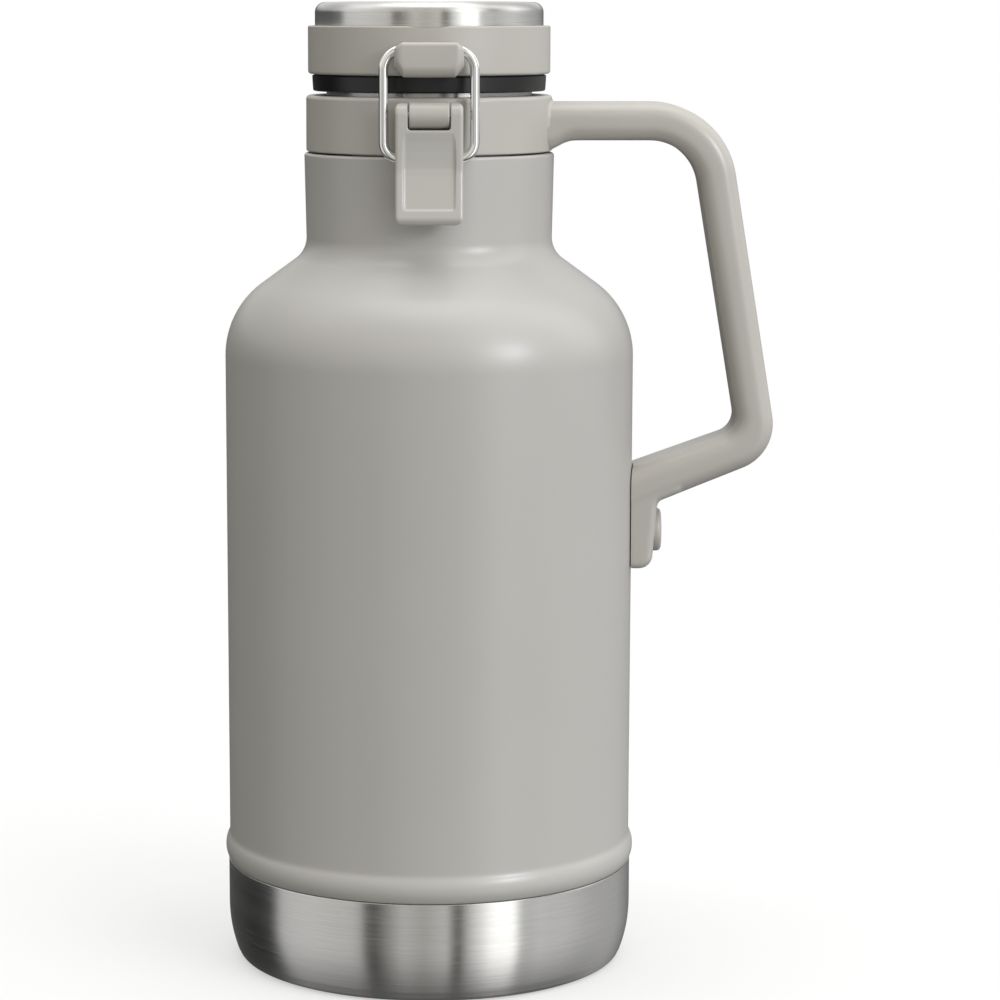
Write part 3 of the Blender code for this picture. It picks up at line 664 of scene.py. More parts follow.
def build_disc():
    """Underside disc, with a stepped centre."""
    # (radius, z)
    profile = [(0, 0.9), (47.4, 0.9), (47.8, 0.6), (47.8, 0.3)]
    profile += arc(47.5, 0.3, 0.3, 0, -90, 3)[1:]
    profile += [(44.0, 0.0), (43.6, 0.12), (30.0, 0.14), (29.7, 0.0), (0, 0.0)]
    return lathe("underside_disc", profile, 128, disc_steel, closed=False)


def build_flask():
    """Mouth and liner in one: a sleeve outside the neck, a rolled lip, and the inner wall."""
    sleeve_r, bore_r = 30.1, 27.9
    thickness = 0.6
    mouth_z, sleeve_low_z, wall_low_z = 260.9, 238.6, 9.6
    body_r, arc_r, fillet_r = 56.5, 22.0, 8.0
    slope_gap = 5.08          # the liner's slope lies this far below the shell's

    lip_r, lip_centre_r = (sleeve_r - bore_r) / 2, (sleeve_r + bore_r) / 2
    lip_z = mouth_z - lip_r
    slope_shift = slope_foot_r(body_r, arc_r) - slope_foot_r(BODY_R, SHOULDER_ARC_R)
    arc_end_z = (SHOULDER_Z - slope_gap + (SHOULDER_ARC_R - arc_r) * cos(SLOPE)
                 - slope_shift * tan(SLOPE))

    profile = dense([(sleeve_r, lip_z), (sleeve_r, sleeve_low_z)], 6.0)
    profile += [(sleeve_r - thickness, sleeve_low_z), (sleeve_r - thickness, lip_z)]
    profile += arc(lip_centre_r, lip_z, lip_r - thickness, 60, 180, 4)
    profile += shoulder(bore_r + thickness, arc_r, body_r, arc_end_z, fillet_r, 6, 8)
    profile += [(body_r, wall_low_z), (body_r - thickness, wall_low_z)]
    profile += shoulder(bore_r, arc_r - thickness, body_r - thickness, arc_end_z,
                        fillet_r + thickness, 12, 16)[::-1]
    profile += [(bore_r, lip_z)] + arc(lip_centre_r, lip_z, lip_r, 168, 12, 13)
    flask = lathe("flask", profile, 160, mouth_steel)
    even_normals(flask)
    return flask


def build_flask_bottom():
    """Domed bottom of the liner."""
    # (radius, z): upper face outwards, then lower face inwards
    profile = [(0, 15.6), (14, 15.5), (26, 15.1), (36, 14.5), (45, 13.5), (51, 12.4),
               (55.6, 10.6), (55.6, 10.0), (52, 11.6), (40, 13.6), (20, 14.7), (0, 15.0)]
    return lathe("flask_bottom", profile, 128, inside_steel, closed=False)


# ================================================================ collar and handle
def arm_edges():
    """Matched points in (x, z) along the arm's outer and inner edges, collar to foot."""
    start_x = 31.0
    outer = [(start_x, ARM_TOP_Z), (86.2, ARM_TOP_Z), (103.2, 152.4), (57.0, 133.8)]
    inner = [(start_x, 244.6), (77.0, 244.6), (91.2, 159.5), (57.2, 147.3)]
    flare_start, flare_corner = (35.4, 241.7), (40.6, 244.6)
    under_z = flare_corner[1]

    def bend(*corner, **options):
        return [Vector(point) for point in corner_arc(*corner, **options)]

    def between(start, end, count):
        return [start + (end - start) * i / count for i in range(1, count)]

    outer_top = bend(*outer[:3], radius=25.0, steps=26)
    inner_top = bend(*inner[:3], radius=15.0, steps=26)
    outer_low = bend(*outer[1:], radius=14.0, steps=26)
    inner_low = bend(*inner[1:], radius=6.0, steps=26)
    flare = bend(flare_start, flare_corner, (60.0, under_z), radius=7.0, steps=8)
    flare_in, flare_out = flare[0], flare[-1]

    def underside(x):
        """The arm's lower edge, flaring down towards the collar."""
        if x < flare_start[0]:
            return flare_start[1]
        if x < flare_in.x:
            return flare_start[1] + ((flare_in.y - flare_start[1]) * (x - flare_start[0])
                                     / (flare_in.x - flare_start[0]))
        if x < flare_out.x:
            share = (x - flare_in.x) / (flare_out.x - flare_in.x)
            return flare_in.y + (under_z - flare_in.y) * (1 - (1 - share) ** 2)
        return under_z

    pairs = []
    for k in range(16):
        outer_x = start_x + (outer_top[0].x - start_x) * k / 16
        inner_x = start_x + (inner_top[0].x - start_x) * k / 16
        pairs.append((Vector((outer_x, ARM_TOP_Z)), Vector((inner_x, underside(inner_x)))))
    pairs += zip(outer_top, inner_top)
    pairs += zip(between(outer_top[-1], outer_low[0], 20),
                 between(inner_top[-1], inner_low[0], 20))
    pairs += zip(outer_low, inner_low)
    outer_end, inner_end = Vector(outer[3]), Vector(inner[3])
    pairs += zip(between(outer_low[-1], outer_end, 8), between(inner_low[-1], inner_end, 8))
    return pairs + [(outer_end, inner_end)]


def arm_section(outer, inner):
    """A rounded rectangle spanning the arm between two matched points, in metres."""
    centre, half = (outer + inner) / 2, (outer - inner).length / 2
    across = (outer - inner).normalized()
    radius = min(ARM_ROUND, half * 0.86)
    side, depth = half - radius, ARM_HALF_WIDTH - radius
    section = []
    for side_at, depth_at, start in ((side, depth, 0), (-side, depth, 90),
                                     (-side, -depth, 180), (side, -depth, 270)):
        for reach, y in arc(side_at, depth_at, radius, start, start + 90, 10):
            section.append(((centre.x + across.x * reach) * MM, y * MM,
                            (centre.y + across.y * reach) * MM))
    return section


def root_flare():
    """Fillet where the arm leaves the collar: none underneath, full on the sides and top."""
    fillet_r = 1.0
    low_z = 244.35
    sink = 0.3                # how far it sits inside the arm where there is no fillet
    corners = [(-ARM_HALF_WIDTH, low_z, ARM_ROUND), (ARM_HALF_WIDTH, low_z, ARM_ROUND),
               (ARM_HALF_WIDTH, ARM_TOP_Z, ARM_ROUND), (-ARM_HALF_WIDTH, ARM_TOP_Z, ARM_ROUND)]
    outline = rounded(corners, 9.0)
    points = dense(outline + [outline[0]], 0.8)[:-1]
    normals = []
    for i in range(len(points)):
        before, after = points[i - 1], points[(i + 1) % len(points)]
        along = Vector((after[0] - before[0], after[1] - before[1])).normalized()
        normals.append((along.y, -along.x))

    # (distance out from the collar, width beyond the arm)
    steps = [(-1.2, fillet_r)]
    steps += [(fillet_r * (1 - cos(radians(90 * k / 9))), fillet_r * (1 - sin(radians(90 * k / 9))))
              for k in range(9)]
    steps += [(fillet_r, 0.02), (fillet_r + 0.5, -0.35)]
    sections = []
    for distance, width in steps:
        section = []
        for (y, z), (normal_y, normal_z) in zip(points, normals):
            share = min(1.0, max(0.0, (normal_z + 0.55) / 0.5))
            offset = width * share - sink * (1 - share)
            flared_y = y + normal_y * offset
            collar_x = sqrt(COLLAR_R ** 2 - min(abs(flared_y), 12.5) ** 2)
            section.append(((collar_x + distance) * MM, flared_y * MM,
                            (z + normal_z * offset) * MM))
        sections.append(section)
    return loft("root_flare", sections)


def build_handle():
    """Arm and foot as one soft moulding, the foot hollowed to the body."""
    handle = loft("handle_blank", [arm_section(*pair) for pair in arm_edges()])
    # (x, z, corner radius)
    foot = rounded([(57.3, 146.0, 0), (75.0, 146.0, 0), (75.0, 141.35, 0), (67.6, 138.4, 2.0),
                    (65.9, 118.35, 4.0), (58.2, 118.35, 0)], step=6.0)
    join(handle, slab("foot_block", foot, 'Y', -10.7, 10.7, round_mm=3.4, segments=8))
    melt(handle, voxel_mm=0.45, rounds=8, keep=0.4)
    cut(handle, rod("body_clear", BODY_R + 0.3, (0, 0, 95), (0, 0, 170), 256))
    join(handle, root_flare())
    return handle


def hinge_ear(name, start_x, end_x):
    """One of the two collar ears that hold the lid hinge pin."""
    outline = [(33.6, 246.0), (36.3, 246.0)] + arc(*HINGE_PIN, KNUCKLE_R, -15, 165, 30)
    outline += [(36.1, 257.3), (33.6, 256.6)]
    return slab(name, outline, 'X', start_x, end_x, round_mm=0.45, segments=3, limit=60)


def build_collar():
    """Neck collar in one piece with the handle, the latch barrel and the hinge ears."""
    rim_r, rim_z, rim_round = 36.05, 257.7, 1.15
    bore_r = 30.5
    ring = [(bore_r, 257.3), (30.9, rim_z)]
    ring += arc(rim_r - rim_round, rim_z - rim_round, rim_round, 90, 0, 9)
    ring += [(rim_r, 254.0), (36.06, 249.0), (COLLAR_R, 244.0)]
    ring += arc(35.6, 241.92, 0.47, 0, -90, 5) + [(bore_r, 241.45)]
    collar = lathe("collar", ring, 192, plastic)

    pin_y = LEVER_PIN[0]
    join(collar, build_handle(),
         cross_rod("latch_barrel", 3.75, LEVER_PIN, -5.7, 5.7, 64, round_mm=0.45),
         block("latch_web", (-5.62, pin_y, 249.9), (5.62, -34.5, 256.1), round_mm=0.3),
         hinge_ear("ear_pos", 6.0, 10.0), hinge_ear("ear_neg", -10.0, -6.0))
    cut(collar,
        cross_rod("latch_bore", LEVER_BORE_R, LEVER_PIN, -12, 12, 32),
        cross_rod("hinge_bore", HINGE_BORE_R, HINGE_PIN, -14, 14, 32),
        cross_rod("boss_pocket", 6.4, FOOT_SCREW, 55, 63.6, 48),
        cross_rod("screw_hole", 2.4, FOOT_SCREW, 60, 70, 24),
        cross_rod("screw_counterbore", 4.6, FOOT_SCREW, 64.5, 75, 32),
        cross_rod("cap_seat", 6.65, FOOT_SCREW, 66.5, 75, 64))
    shade(collar, sharp=28)
    even_normals(collar)
    return collar


def build_foot_cap():
    """Screw cap on the handle foot: a low dome with a rolled rim, facing +X."""
    # (radius, height)
    dome = [(0, 2.42), (2.0, 2.40), (3.6, 2.28)] + arc(5.15, 1.05, 1.25, 78, 0, 8)
    dome += [(6.42, 0.9), (6.42, 0.15), (6.3, 0.0), (0, 0.0)]
    cap = lathe("foot_cap", dome, 64, plastic, closed=False)
    y, z = FOOT_SCREW
    cap.data.transform(Matrix.Translation((66.75 * MM, y * MM, z * MM))
                       @ Matrix.Rotation(radians(90), 4, 'Y'))
    return cap


# ============================================================================ latch
def build_lever():
    """Latch lever: a round knuckle on its pin, with a tapering tab below."""
    half_width, slot_half = 9.62, 6.05
    back_y = -37.2

    # side view in (y, z); the bends are open paths, whose end points are dropped
    side = [(back_y, 250.6)] + arc(*LEVER_PIN, 3.55, -30, 180, 34) + [(-43.36, 246.0)]
    for path, step in [
            ([(-43.4, 252.0, 0), (-43.4, 237.2, 9.0), (-46.75, 223.4, 0)], 3.0),
            ([(-43.6, 236.0, 0), (-46.75, 222.3, 1.9), (-42.9, 222.3, 0.9), (-39.4, 234.0, 0)],
             9.0),
            ([(-42.9, 222.6, 0), (-39.2, 235.0, 4.0), (back_y, 238.0, 0)], 6.0)]:
        side += rounded(path, step)[1:-1]
    side += [(back_y, 238.0)]
    lever = slab("lever", side, 'X', -9.6, 9.6, lever_plastic, round_mm=1.15)

    # front view in (x, z)
    front = rounded([(-half_width, 222.2, 2.7), (half_width, 222.2, 2.7),
                     (half_width, 256.6, 1.9), (-half_width, 256.6, 1.9)], 9.0)
    boolean(lever, 'INTERSECT', slab("lever_front", front, 'Y', -60, -30))

    slot = rounded([(-slot_half, 248.85, 0.9), (slot_half, 248.85, 0.9),
                    (slot_half, 262.0, 0), (-slot_half, 262.0, 0)], 15.0)
    # a shallow dished recess in the front: it fades in below the slot and ends above the foot
    panel = [(-43.5, 249.0), (-43.2, 247.3), (-42.9, 245.5), (-42.7, 243.0), (-42.6, 240.0),
             (-42.62, 238.2), (-42.95, 236.2), (-45.4, 226.2), (-52, 226.2), (-52, 249.0)]
    cut(lever,
        slab("lever_slot", slot, 'Y', -50, -30),
        cross_rod("lever_slot_round", 4.05, LEVER_PIN, -slot_half, slot_half, 64),
        slab("lever_panel", panel, 'X', -7.6, 7.6, round_mm=1.1, limit=25),
        cross_rod("lever_bore", LEVER_BORE_R, LEVER_PIN, -12, 12, 32),
        cross_rod("bail_hole_pos", 1.6, BAIL_FOOT, 6.6, 14, 32),
        cross_rod("bail_hole_neg", 1.6, BAIL_FOOT, -14, -6.6, 32))
    melt(lever, voxel_mm=0.17, rounds=10, keep=0.4)
    return lever


def build_bail():
    """Wire loop with its two ends turned in to the lever, leaning slightly back as it rises."""
    sides = 28
    chamfer = 0.3
    foot_bend_r = 4.6
    rise = Vector((0, BAIL_TOP[0] - BAIL_FOOT[0], BAIL_TOP[1] - BAIL_FOOT[1]))
    length = rise.length
    rise.normalize()
    across = Vector((0, rise.z, -rise.y))

    # the +X half as (x, distance up the loop), then its mirror image
    straight = length - (foot_bend_r + BAIL_BEND_R)
    half = [(6.9, 0.0), (7.6, 0.0)]
    half += arc(BAIL_HALF_WIDTH - foot_bend_r, foot_bend_r, foot_bend_r, -90, 0, 18)
    half += [(BAIL_HALF_WIDTH, foot_bend_r + straight * share) for share in (0.25, 0.5, 0.75)]
    half += arc(BAIL_HALF_WIDTH - BAIL_BEND_R, length - BAIL_BEND_R, BAIL_BEND_R, 0, 90, 20)
    path = half + [(-x, height) for x, height in reversed(half)]
    points = [Vector((x, *BAIL_FOOT)) + rise * height for x, height in path]

    sections = []
    last = len(points) - 1
    for i, point in enumerate(points):
        along = (points[min(last, i + 1)] - points[max(0, i - 1)]).normalized()
        normal = along.cross(across).normalized()
        rings = [(point, WIRE_R)]
        if i == 0:
            rings = [(point, WIRE_R - chamfer), (point + along * chamfer, WIRE_R)]
        elif i == last:
            rings = [(point - along * chamfer, WIRE_R), (point, WIRE_R - chamfer)]
        for centre, radius in rings:
            sections.append([(centre + (normal * cos(2 * pi * j / sides)
                                        + across * sin(2 * pi * j / sides)) * radius) * MM
                             for j in range(sides)])
    bail = loft("bail", sections, wire_chrome)
    shade(bail, sharp=50)
    return bail


# ============================================================================== lid
def lug_section(x, back, fall, lift):
    """The lug's outline at x: a rounded top edge, a gently crowned face, a full round below.

    The front is set back, the top lowered and the bottom lifted by the last three values.
    """
    root_y = -33.8
    top, low = 273.4 - fall, 263.5 + lift
    front = -42.6 + back
    top_r, low_r = min(1.2, (top - low) * 0.3), min(3.4, (top - low) * 0.5)
    face_top, face_low = top - top_r, low + low_r
    points = [(root_y, top)] + arc(front + top_r, face_top, top_r, 90, 176, 9)
    points += [(front + 0.02 - 0.05 * sin(pi * k / 4), face_top + (face_low - face_top) * k / 4)
               for k in (1, 2, 3)]
    points += arc(front + low_r, face_low, low_r, 184, 270, 14) + [(root_y, low)]
    return [(x * MM, y * MM, z * MM) for y, z in points]


def build_lug():
    """Block on the front of the lid band, with a groove over its top for the bail."""
    half_width, corner = 9.85, 2.6
    stations = []
    for k in range(13):
        # from the side face round to the front face
        angle = radians(90 * k / 12)
        x = half_width - corner * (1 - cos(angle))
        share = (half_width - x) / corner
        stations.append((-x, 2.2 * (1 - sin(angle)) ** 1.15,
                         1.55 * (1 - min(1.0, share * 1.15)) ** 1.2,
                         3.1 * (1 - min(1.0, share * 0.98)) ** 1.15))
    mirrored = [(-x, *rest) for x, *rest in reversed(stations)]
    stations += [(0.0, 0.0, 0.0, 0.0)] + mirrored
    lug = loft("lug", [lug_section(*station) for station in stations])

    # the groove leaves what lies inside the bail's top bends
    clearance = 0.3
    centre_x, centre_z = BAIL_HALF_WIDTH - BAIL_BEND_R, BAIL_TOP[1] - BAIL_BEND_R
    bend = arc(centre_x, centre_z, BAIL_BEND_R - WIRE_R - clearance, 0, 90, 16)
    groove = [(16, 282), (16, centre_z)] + bend
    groove += [(-x, z) for x, z in reversed(bend)] + [(-16, centre_z), (-16, 282)]
    cut(lug, slab("lug_groove", groove, 'Y', -40.9, -35.6))
    return lug


def cut_lid_screw_holes(obj):
    """Three screw holes on one circle, the first at the back."""
    for i in range(3):
        angle = radians(90 + 120 * i)
        place = (LID_SCREW_CIRCLE_R * cos(angle), LID_SCREW_CIRCLE_R * sin(angle))
        cut(obj, rod("screw_hole", 1.45, (*place, 263.0), (*place, 267.5), 24))


def build_band():
    """Plastic band round the lid, with the lug in front and the hinge knuckle behind."""
    outer_r = 35.45
    top_round, low_round = 0.5, 0.9
    profile = [(33.75, BAND_TOP_Z)]
    profile += arc(outer_r - top_round, BAND_TOP_Z - top_round, top_round, 90, 0, 6)
    profile += [(outer_r, 272.0), (outer_r, 266.0)]
    profile += arc(outer_r - low_round, 264.75, low_round, 0, -90, 6)
    profile += [(33.0, 263.85), (33.0, 264.9), (26.6, 264.9), (26.6, 266.4), (31.2, 266.4),
                (31.2, 275.6), (33.75, 275.6)]
    band = lathe("lid_rim", profile, 192, band_plastic)

    knuckle = arc(*HINGE_PIN, KNUCKLE_R, -160, 60, 40)
    knuckle += [(35.2, 272.0), (33.2, 272.0), (33.2, 264.9), (35.6, 264.9)]
    join(band, build_lug(),
         slab("lid_knuckle", knuckle, 'X', -5.7, 5.7, round_mm=0.4, segments=3, limit=60))

    # a shallow dip in the band's top edge above the lug
    dip_half, dip_depth = 6.0, 0.55
    dip_r = (dip_half ** 2 + dip_depth ** 2) / (2 * dip_depth)
    dip_z = BAND_TOP_Z - dip_depth + dip_r
    cut(band,
        rod("band_dip", dip_r, (0, -39.0, dip_z), (0, -33.0, dip_z), 256),
        cross_rod("lid_hinge_bore", HINGE_BORE_R, HINGE_PIN, -14, 14, 32))
    cut_lid_screw_holes(band)
    shade(band, sharp=28)
    even_normals(band)
    return band


def build_steel_top():
    """Steel cap: a soft shoulder and a slightly crowned top."""
    outer_r, shoulder_r = 33.4, 2.95
    profile = [(0, 284.8), (12.0, 284.78), (22.0, 284.72), (28.0, 284.62)]
    profile += arc(outer_r - shoulder_r, 284.56 - shoulder_r, shoulder_r, 88, 0, 16)
    profile += [(outer_r, 279.0), (outer_r, 275.9), (32.8, 275.9), (32.8, 281.6)]
    profile += arc(outer_r - 2.9, 284.5 - 2.9, 2.3, 0, 90, 5) + [(20.0, 284.1), (0, 284.2)]
    cap = lathe("steel_top", profile, 256, cap_steel, closed=False)
    even_normals(cap)
    return cap


def build_stopper():
    """Black skirt and stopper in one piece."""
    # (radius, z): recess, flange, skirt, plug wall, then the underside back to the axis
    profile = [(0, 250.4), (25.2, 250.4), (25.2, 264.6), (32.7, 264.6), (32.7, 263.55),
               (33.95, 263.55), (34.25, 263.3), (34.18, 261.8), (34.02, 259.5)]
    profile += arc(33.55, 259.35, 0.45, 0, -90, 4)
    profile += [(32.6, 258.9), (32.4, 259.1), (32.4, 262.6), (26.7, 262.6), (26.7, 256.2),
                (26.5, 256.0), (26.5, 255.6), (26.7, 255.4), (26.7, 250.6)]
    profile += arc(25.4, 250.3, 1.3, 0, -90, 6)
    profile += [(18.0, 249.0), (17.6, 249.3), (12.0, 249.4), (11.6, 249.05), (0, 249.05)]
    stopper = lathe("stopper", profile, 192, black_plastic, closed=False)
    cut_lid_screw_holes(stopper)
    shade(stopper, sharp=30)
    even_normals(stopper)
    return stopper


def build_seal():
    """Sealing ring: a rounded section with two lips."""
    profile = arc(31.2, 261.75, 0.5, 90, -60, 8)
    profile += [(30.2, 261.25), (29.6, 261.2), (28.9, 261.3), (28.0, 261.15)]
    profile += arc(27.75, 261.65, 0.48, 250, 90, 7) + [(28.9, 262.25), (29.6, 262.3), (30.3, 262.25)]
    return lathe("seal_ring", profile, 128, gasket_rubber)


# ============================================================== build and assign
shell = build_shell()
base = build_base()
disc = build_disc()
flask = build_flask()
flask_bottom = build_flask_bottom()
collar = build_collar()
foot_cap = build_foot_cap()
lever = build_lever()
bail = build_bail()
band = build_band()
steel_top = build_steel_top()
stopper = build_stopper()
seal = build_seal()
hinge_pin = cross_rod("hinge_pin", 1.3, HINGE_PIN, -10.3, 10.3, 48, mat=pin_metal, round_mm=0.35)
lever_pin = cross_rod("lever_pin", 1.1, LEVER_PIN, -9.3, 9.3, 40, mat=pin_metal, round_mm=0.25)

# piece, the body it rides on, its material slot, the CAD node it replaces
for piece, body, slot, node_name in [
        (shell, "vessel", "shell_paint", "outer_shell"),
        (base, "vessel", "brushed_steel", "base_cup"),
        (disc, "vessel", "brushed_steel", "base_disc"),
        (flask, "vessel", "liner_steel", "inner_flask"),
        (flask_bottom, "vessel", "liner_steel", "inner_bottom"),
        (collar, "vessel", "collar_plastic", "handle_collar"),
        (foot_cap, "vessel", "collar_plastic", "foot_screw_cap"),
        (hinge_pin, "vessel", "fastener_steel", "lid_hinge_pin"),
        (lever_pin, "vessel", "fastener_steel", "latch_pin"),
        (lever, "lever", "lever_plastic", "latch_lever"),
        (bail, "bail", "bright_wire", "latch_bail"),
        (band, "lid", "collar_plastic", "lid_band"),
        (steel_top, "lid", "brushed_steel", "lid_top_cap"),
        (stopper, "lid", "black_plastic", "lid_plug"),
        (seal, "lid", "gasket_rubber", "lid_gasket")]:
    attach(piece, body)
    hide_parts(node_name)

# the CAD nodes that stay get their own procedural finish
KEPT = {"vacuum_seal": seal_glass, "getter": getter_metal, "handle_boss": pin_metal,
        "foot_washer": washer_metal, "foot_screw": screw_metal, "lid_foam": foam_white,
        "lid_screw_1": screw_metal, "lid_screw_2": screw_metal, "lid_screw_3": screw_metal}
for node_name, finish in KEPT.items():
    kept_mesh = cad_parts[node_name].data
    kept_mesh.materials.clear()
    kept_mesh.materials.append(finish)


# ============================================================================ floor
def floor_white():
    """White floor that fades with distance into pure white for the camera."""
    m = Mat("floor_white")
    m.set(base=m.mix(m.noise(scale=3.0), low=(0.80, 0.80, 0.80), high=(0.82, 0.82, 0.82)),
          rough=0.9, spec=0.1)
    radius = m.axis_coordinates()[3]
    glow = m.node("ShaderNodeEmission")
    m.link(m.node("ShaderNodeLightPath").outputs["Is Camera Ray"], glow.inputs["Strength"])
    blend = m.node("ShaderNodeMixShader")
    # share of the glow, over distances in metres
    m.link(m.ranged(radius, span=(0.10, 0.50), to=(0.45, 1.0), smooth=True), blend.inputs[0])
    m.link(m.bsdf.outputs[0], blend.inputs[1])
    m.link(glow.outputs[0], blend.inputs[2])
    m.link(blend.outputs[0], m.tree.nodes["Material Output"].inputs["Surface"])
    m.mat.cycles.emission_sampling = 'NONE'
    return m.mat


def build_floor():
    bm = bmesh.new()
    bmesh.ops.create_grid(bm, x_segments=1, y_segments=1, size=30.0)
    floor = make_object("floor", bm, floor_white(), scene.collection, fix_normals=False)
    floor.location = (0, 0, -0.0001)
    # the tent below the floor lights and mirrors in the vessel, as over a clear stand
    floor.visible_glossy = False
    floor.visible_diffuse = False
    floor.visible_shadow = False
    return floor


build_floor()

# ====================================================================== world: soft tent
# Brightness by azimuth, as (azimuth in degrees, grey level or RGB).  Azimuth 0 is the
# camera's side (-Y), and positive azimuths are to its right (+X).
LOW_BAND = [
    (-180, 0.1), (-116, 0.0), (-103, 0.01), (-98, 0.16), (-93, 0.62), (-80, 0.68), (-70, 0.7),
    (-45, 0.645), (-39.5, 0.52), (-36, 0.06), (-31, 0.0), (-24, 0.26), (-15, 0.63), (-3, 0.47),
    (10, 0.71), (13.5, 0.19), (17, 0.0), (20, 0.39), (24, 0.72), (30, 1.06), (36, 1.6), (42, 1.7),
    (49, 1.85), (53, 0.63), (58, 0.6), (66, 0.78), (82, 0.67), (101, 0.47), (112, 0.46),
    (135, 0.45), (160, 0.2), (180, 0.1)]
SIDE_BAND = [
    (-180, 1.0), (-150, 0.71), (-120, 0.6), (-98, 0.97), (-60, (0.82, 0.8, 0.72)),
    (-30, (0.76, 0.72, 0.65)), (0, (0.77, 0.73, 0.57)), (20, (0.63, 0.61, 0.54)), (35, 2.25),
    (50, 1.7), (70, 0.18), (100, 1.62), (140, 0.51), (180, 1.0)]
MID_BAND = [
    (-180, 1.0), (-135, 1.0), (-90, 1.48), (-45, 0.45), (0, 0.0), (45, 0.82), (90, 1.7),
    (135, 0.55), (180, 1.0)]
TOP_LEVEL = 2.7
UNDER_LEVEL = 0.1
GAIN = 4.0      # colours are stored divided by this, and the tent's strength restores it

world = bpy.data.worlds.new("studio")
scene.world = world
world.use_nodes = True
world.node_tree.nodes.clear()
sky = Nodes(world.node_tree)


def tent_colour(level):
    rgb = level if isinstance(level, tuple) else (level,) * 3
    return (*[channel / GAIN for channel in rgb], 1.0)


def band_ramp(name, stops, azimuth):
    ramp = sky.node("ShaderNodeValToRGB", name=name)
    ramp.color_ramp.interpolation = 'LINEAR'
    elements = ramp.color_ramp.elements
    while len(elements) > 1:
        elements.remove(elements[-1])
    for i, (angle, level) in enumerate(stops):
        position = (angle + 180) / 360
        element = elements[0] if i == 0 else elements.new(position)
        element.position = position
        element.color = tent_colour(level)
    sky.link(azimuth, ramp.inputs[0])
    return ramp.outputs[0]


def plain(name, level):
    made = sky.node("ShaderNodeRGB", name=name)
    made.outputs[0].default_value = tent_colour(level)
    return made.outputs[0]


def scaled(colour, share):
    made = sky.node("ShaderNodeVectorMath", operation='SCALE')
    sky.link(colour, made.inputs[0])
    sky.link(share, made.inputs["Scale"])
    return made.outputs[0]


def added(first, second):
    made = sky.node("ShaderNodeVectorMath", operation='ADD')
    sky.link(first, made.inputs[0])
    sky.link(second, made.inputs[1])
    return made.outputs[0]


direction = sky.node("ShaderNodeTexCoord").outputs["Generated"]
split = sky.node("ShaderNodeSeparateXYZ")
sky.link(direction, split.inputs[0])
east, north, up = split.outputs
azimuth = sky.math('ARCTAN2', east, sky.math('MULTIPLY', north, -1.0))
azimuth = sky.math('ADD', sky.math('DIVIDE', azimuth, 2 * pi), 0.5)

# each zone fades into the next one up between two elevations in degrees
under_end, low_end, side_end, mid_end = [
    sky.ranged(up, span=(sin(radians(start)), sin(radians(end))), smooth=True)
    for start, end in ((-50, -22), (2, 14), (32, 48), (58, 74))]
under_share = sky.math('SUBTRACT', 1.0, under_end)
low_share = sky.math('SUBTRACT', under_end, low_end)
side_share = sky.math('SUBTRACT', low_end, side_end)
mid_share = sky.math('SUBTRACT', side_end, mid_end)

light = added(added(added(scaled(band_ramp("low_band", LOW_BAND, azimuth), low_share),
                          scaled(band_ramp("side_band", SIDE_BAND, azimuth), side_share)),
                    scaled(band_ramp("mid_band", MID_BAND, azimuth), mid_share)),
              added(scaled(plain("top_colour", TOP_LEVEL), mid_end),
                    scaled(plain("under_colour", UNDER_LEVEL), under_share)))
tent = sky.node("ShaderNodeBackground", name="tent")
tent.inputs["Strength"].default_value = GAIN
sky.link(light, tent.inputs["Color"])
# the camera sees plain white instead of the tent
backdrop = sky.node("ShaderNodeBackground", name="backdrop")
backdrop.inputs["Color"].default_value = (1, 1, 1, 1)
backdrop.inputs["Strength"].default_value = 1.0
is_camera = sky.node("ShaderNodeLightPath").outputs["Is Camera Ray"]
choose = sky.node("ShaderNodeMixShader")
sky.link(is_camera, choose.inputs[0])
sky.link(tent.outputs[0], choose.inputs[1])
sky.link(backdrop.outputs[0], choose.inputs[2])
sky.link(choose.outputs[0], sky.node("ShaderNodeOutputWorld").inputs[0])

# ============================================================================ lamps
LAMP_AIM = Vector((0, 0, 0.14))       # metres


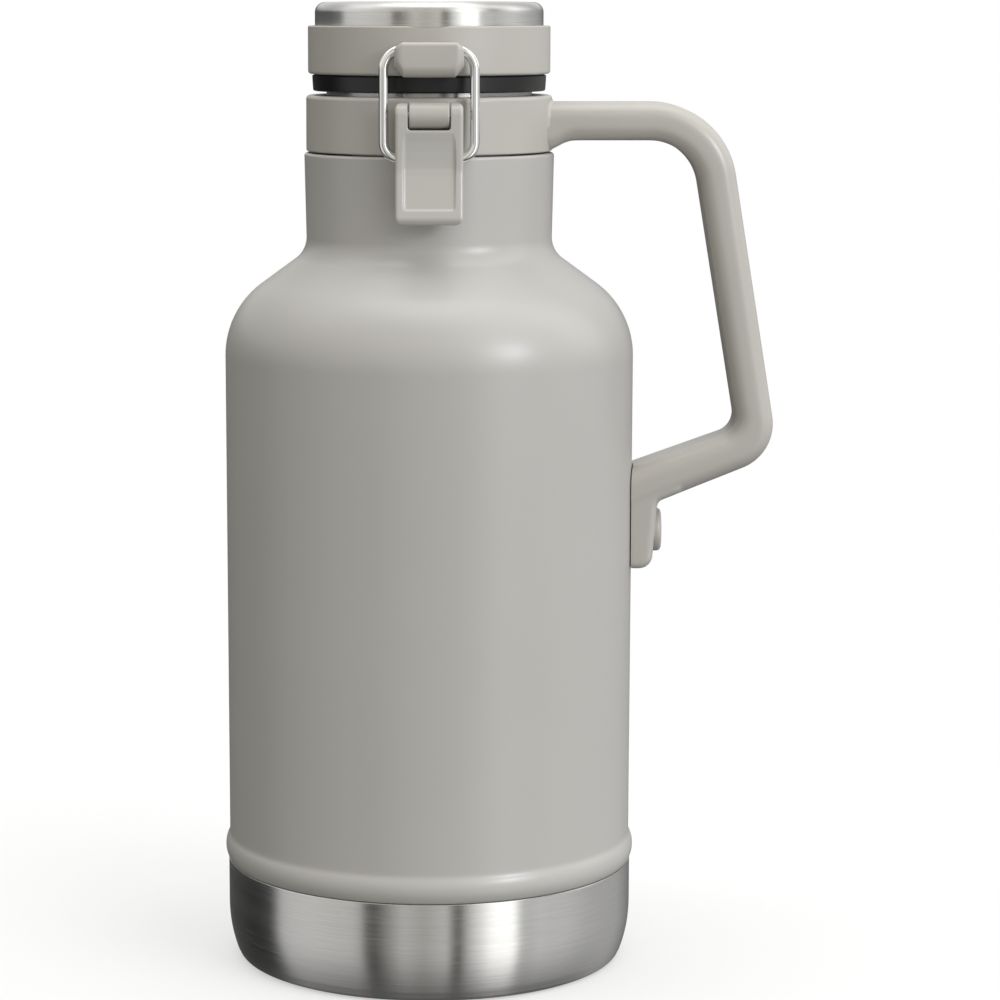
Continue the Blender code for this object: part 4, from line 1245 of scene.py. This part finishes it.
def softbox(name, azimuth, elevation, distance, size, power, colour, mirrored):
    """A round area light aimed at the body; mirrored=False keeps it out of reflections.

    Angles are in degrees, distance and size in metres, power in watts.
    """
    data = bpy.data.lights.new(name, 'AREA')
    data.shape = 'DISK'
    data.size = size
    data.energy = power
    data.color = colour
    lamp = bpy.data.objects.new(name, data)
    scene.collection.objects.link(lamp)
    turn, tilt = radians(azimuth), radians(elevation)
    back = Vector((sin(turn) * cos(tilt), -cos(turn) * cos(tilt), sin(tilt)))
    lamp.location = LAMP_AIM + back * distance
    lamp.rotation_mode = 'QUATERNION'
    lamp.rotation_quaternion = back.to_track_quat('Z', 'Y')
    lamp.visible_camera = False
    lamp.visible_glossy = mirrored
    return lamp


coated = bpy.data.collections.new("coated_pieces")
for piece in (shell, collar, foot_cap, lever, band, stopper):
    coated.objects.link(piece)
key = softbox("key", azimuth=47.5, elevation=20.0, distance=1.9, size=0.5, power=9.9,
              colour=(0.97, 0.99, 1.1), mirrored=True)
# the key only shapes paint and plastic: the bare steel mirrors the tent alone
key.light_linking.receiver_collection = coated
softbox("fill_right", azimuth=72.0, elevation=14.0, distance=2.4, size=1.0, power=1.3,
        colour=(1.0, 1.0, 1.1), mirrored=False)
softbox("fill_right_high", azimuth=45.0, elevation=55.0, distance=2.4, size=1.2, power=11.1,
        colour=(1.0, 1.0, 0.98), mirrored=False)

scene.view_settings.view_transform = 'Standard'
scene.view_settings.look = 'None'
scene.view_settings.exposure = 0.0
scene.view_settings.gamma = 1.0

# =========================================================================== camera
# standing back in front, level with the top of the lid, looking slightly down
CAMERA_PLACE = (0.0, -0.9855, 0.2842)     # metres
CAMERA_DOWN = 8.463                       # degrees below level
CAMERA_LENS = 120.1896
CAMERA_SHIFT_X = 0.0708                   # share of the frame width

camera_data = bpy.data.cameras.new("camera")
camera = bpy.data.objects.new("camera", camera_data)
scene.collection.objects.link(camera)
camera.location = CAMERA_PLACE
camera.rotation_euler = (radians(90 - CAMERA_DOWN), 0, 0)
camera_data.sensor_width = 36.0
camera_data.lens = CAMERA_LENS
camera_data.shift_x = CAMERA_SHIFT_X
camera_data.clip_start = 0.05
camera_data.clip_end = 200.0
scene.camera = camera
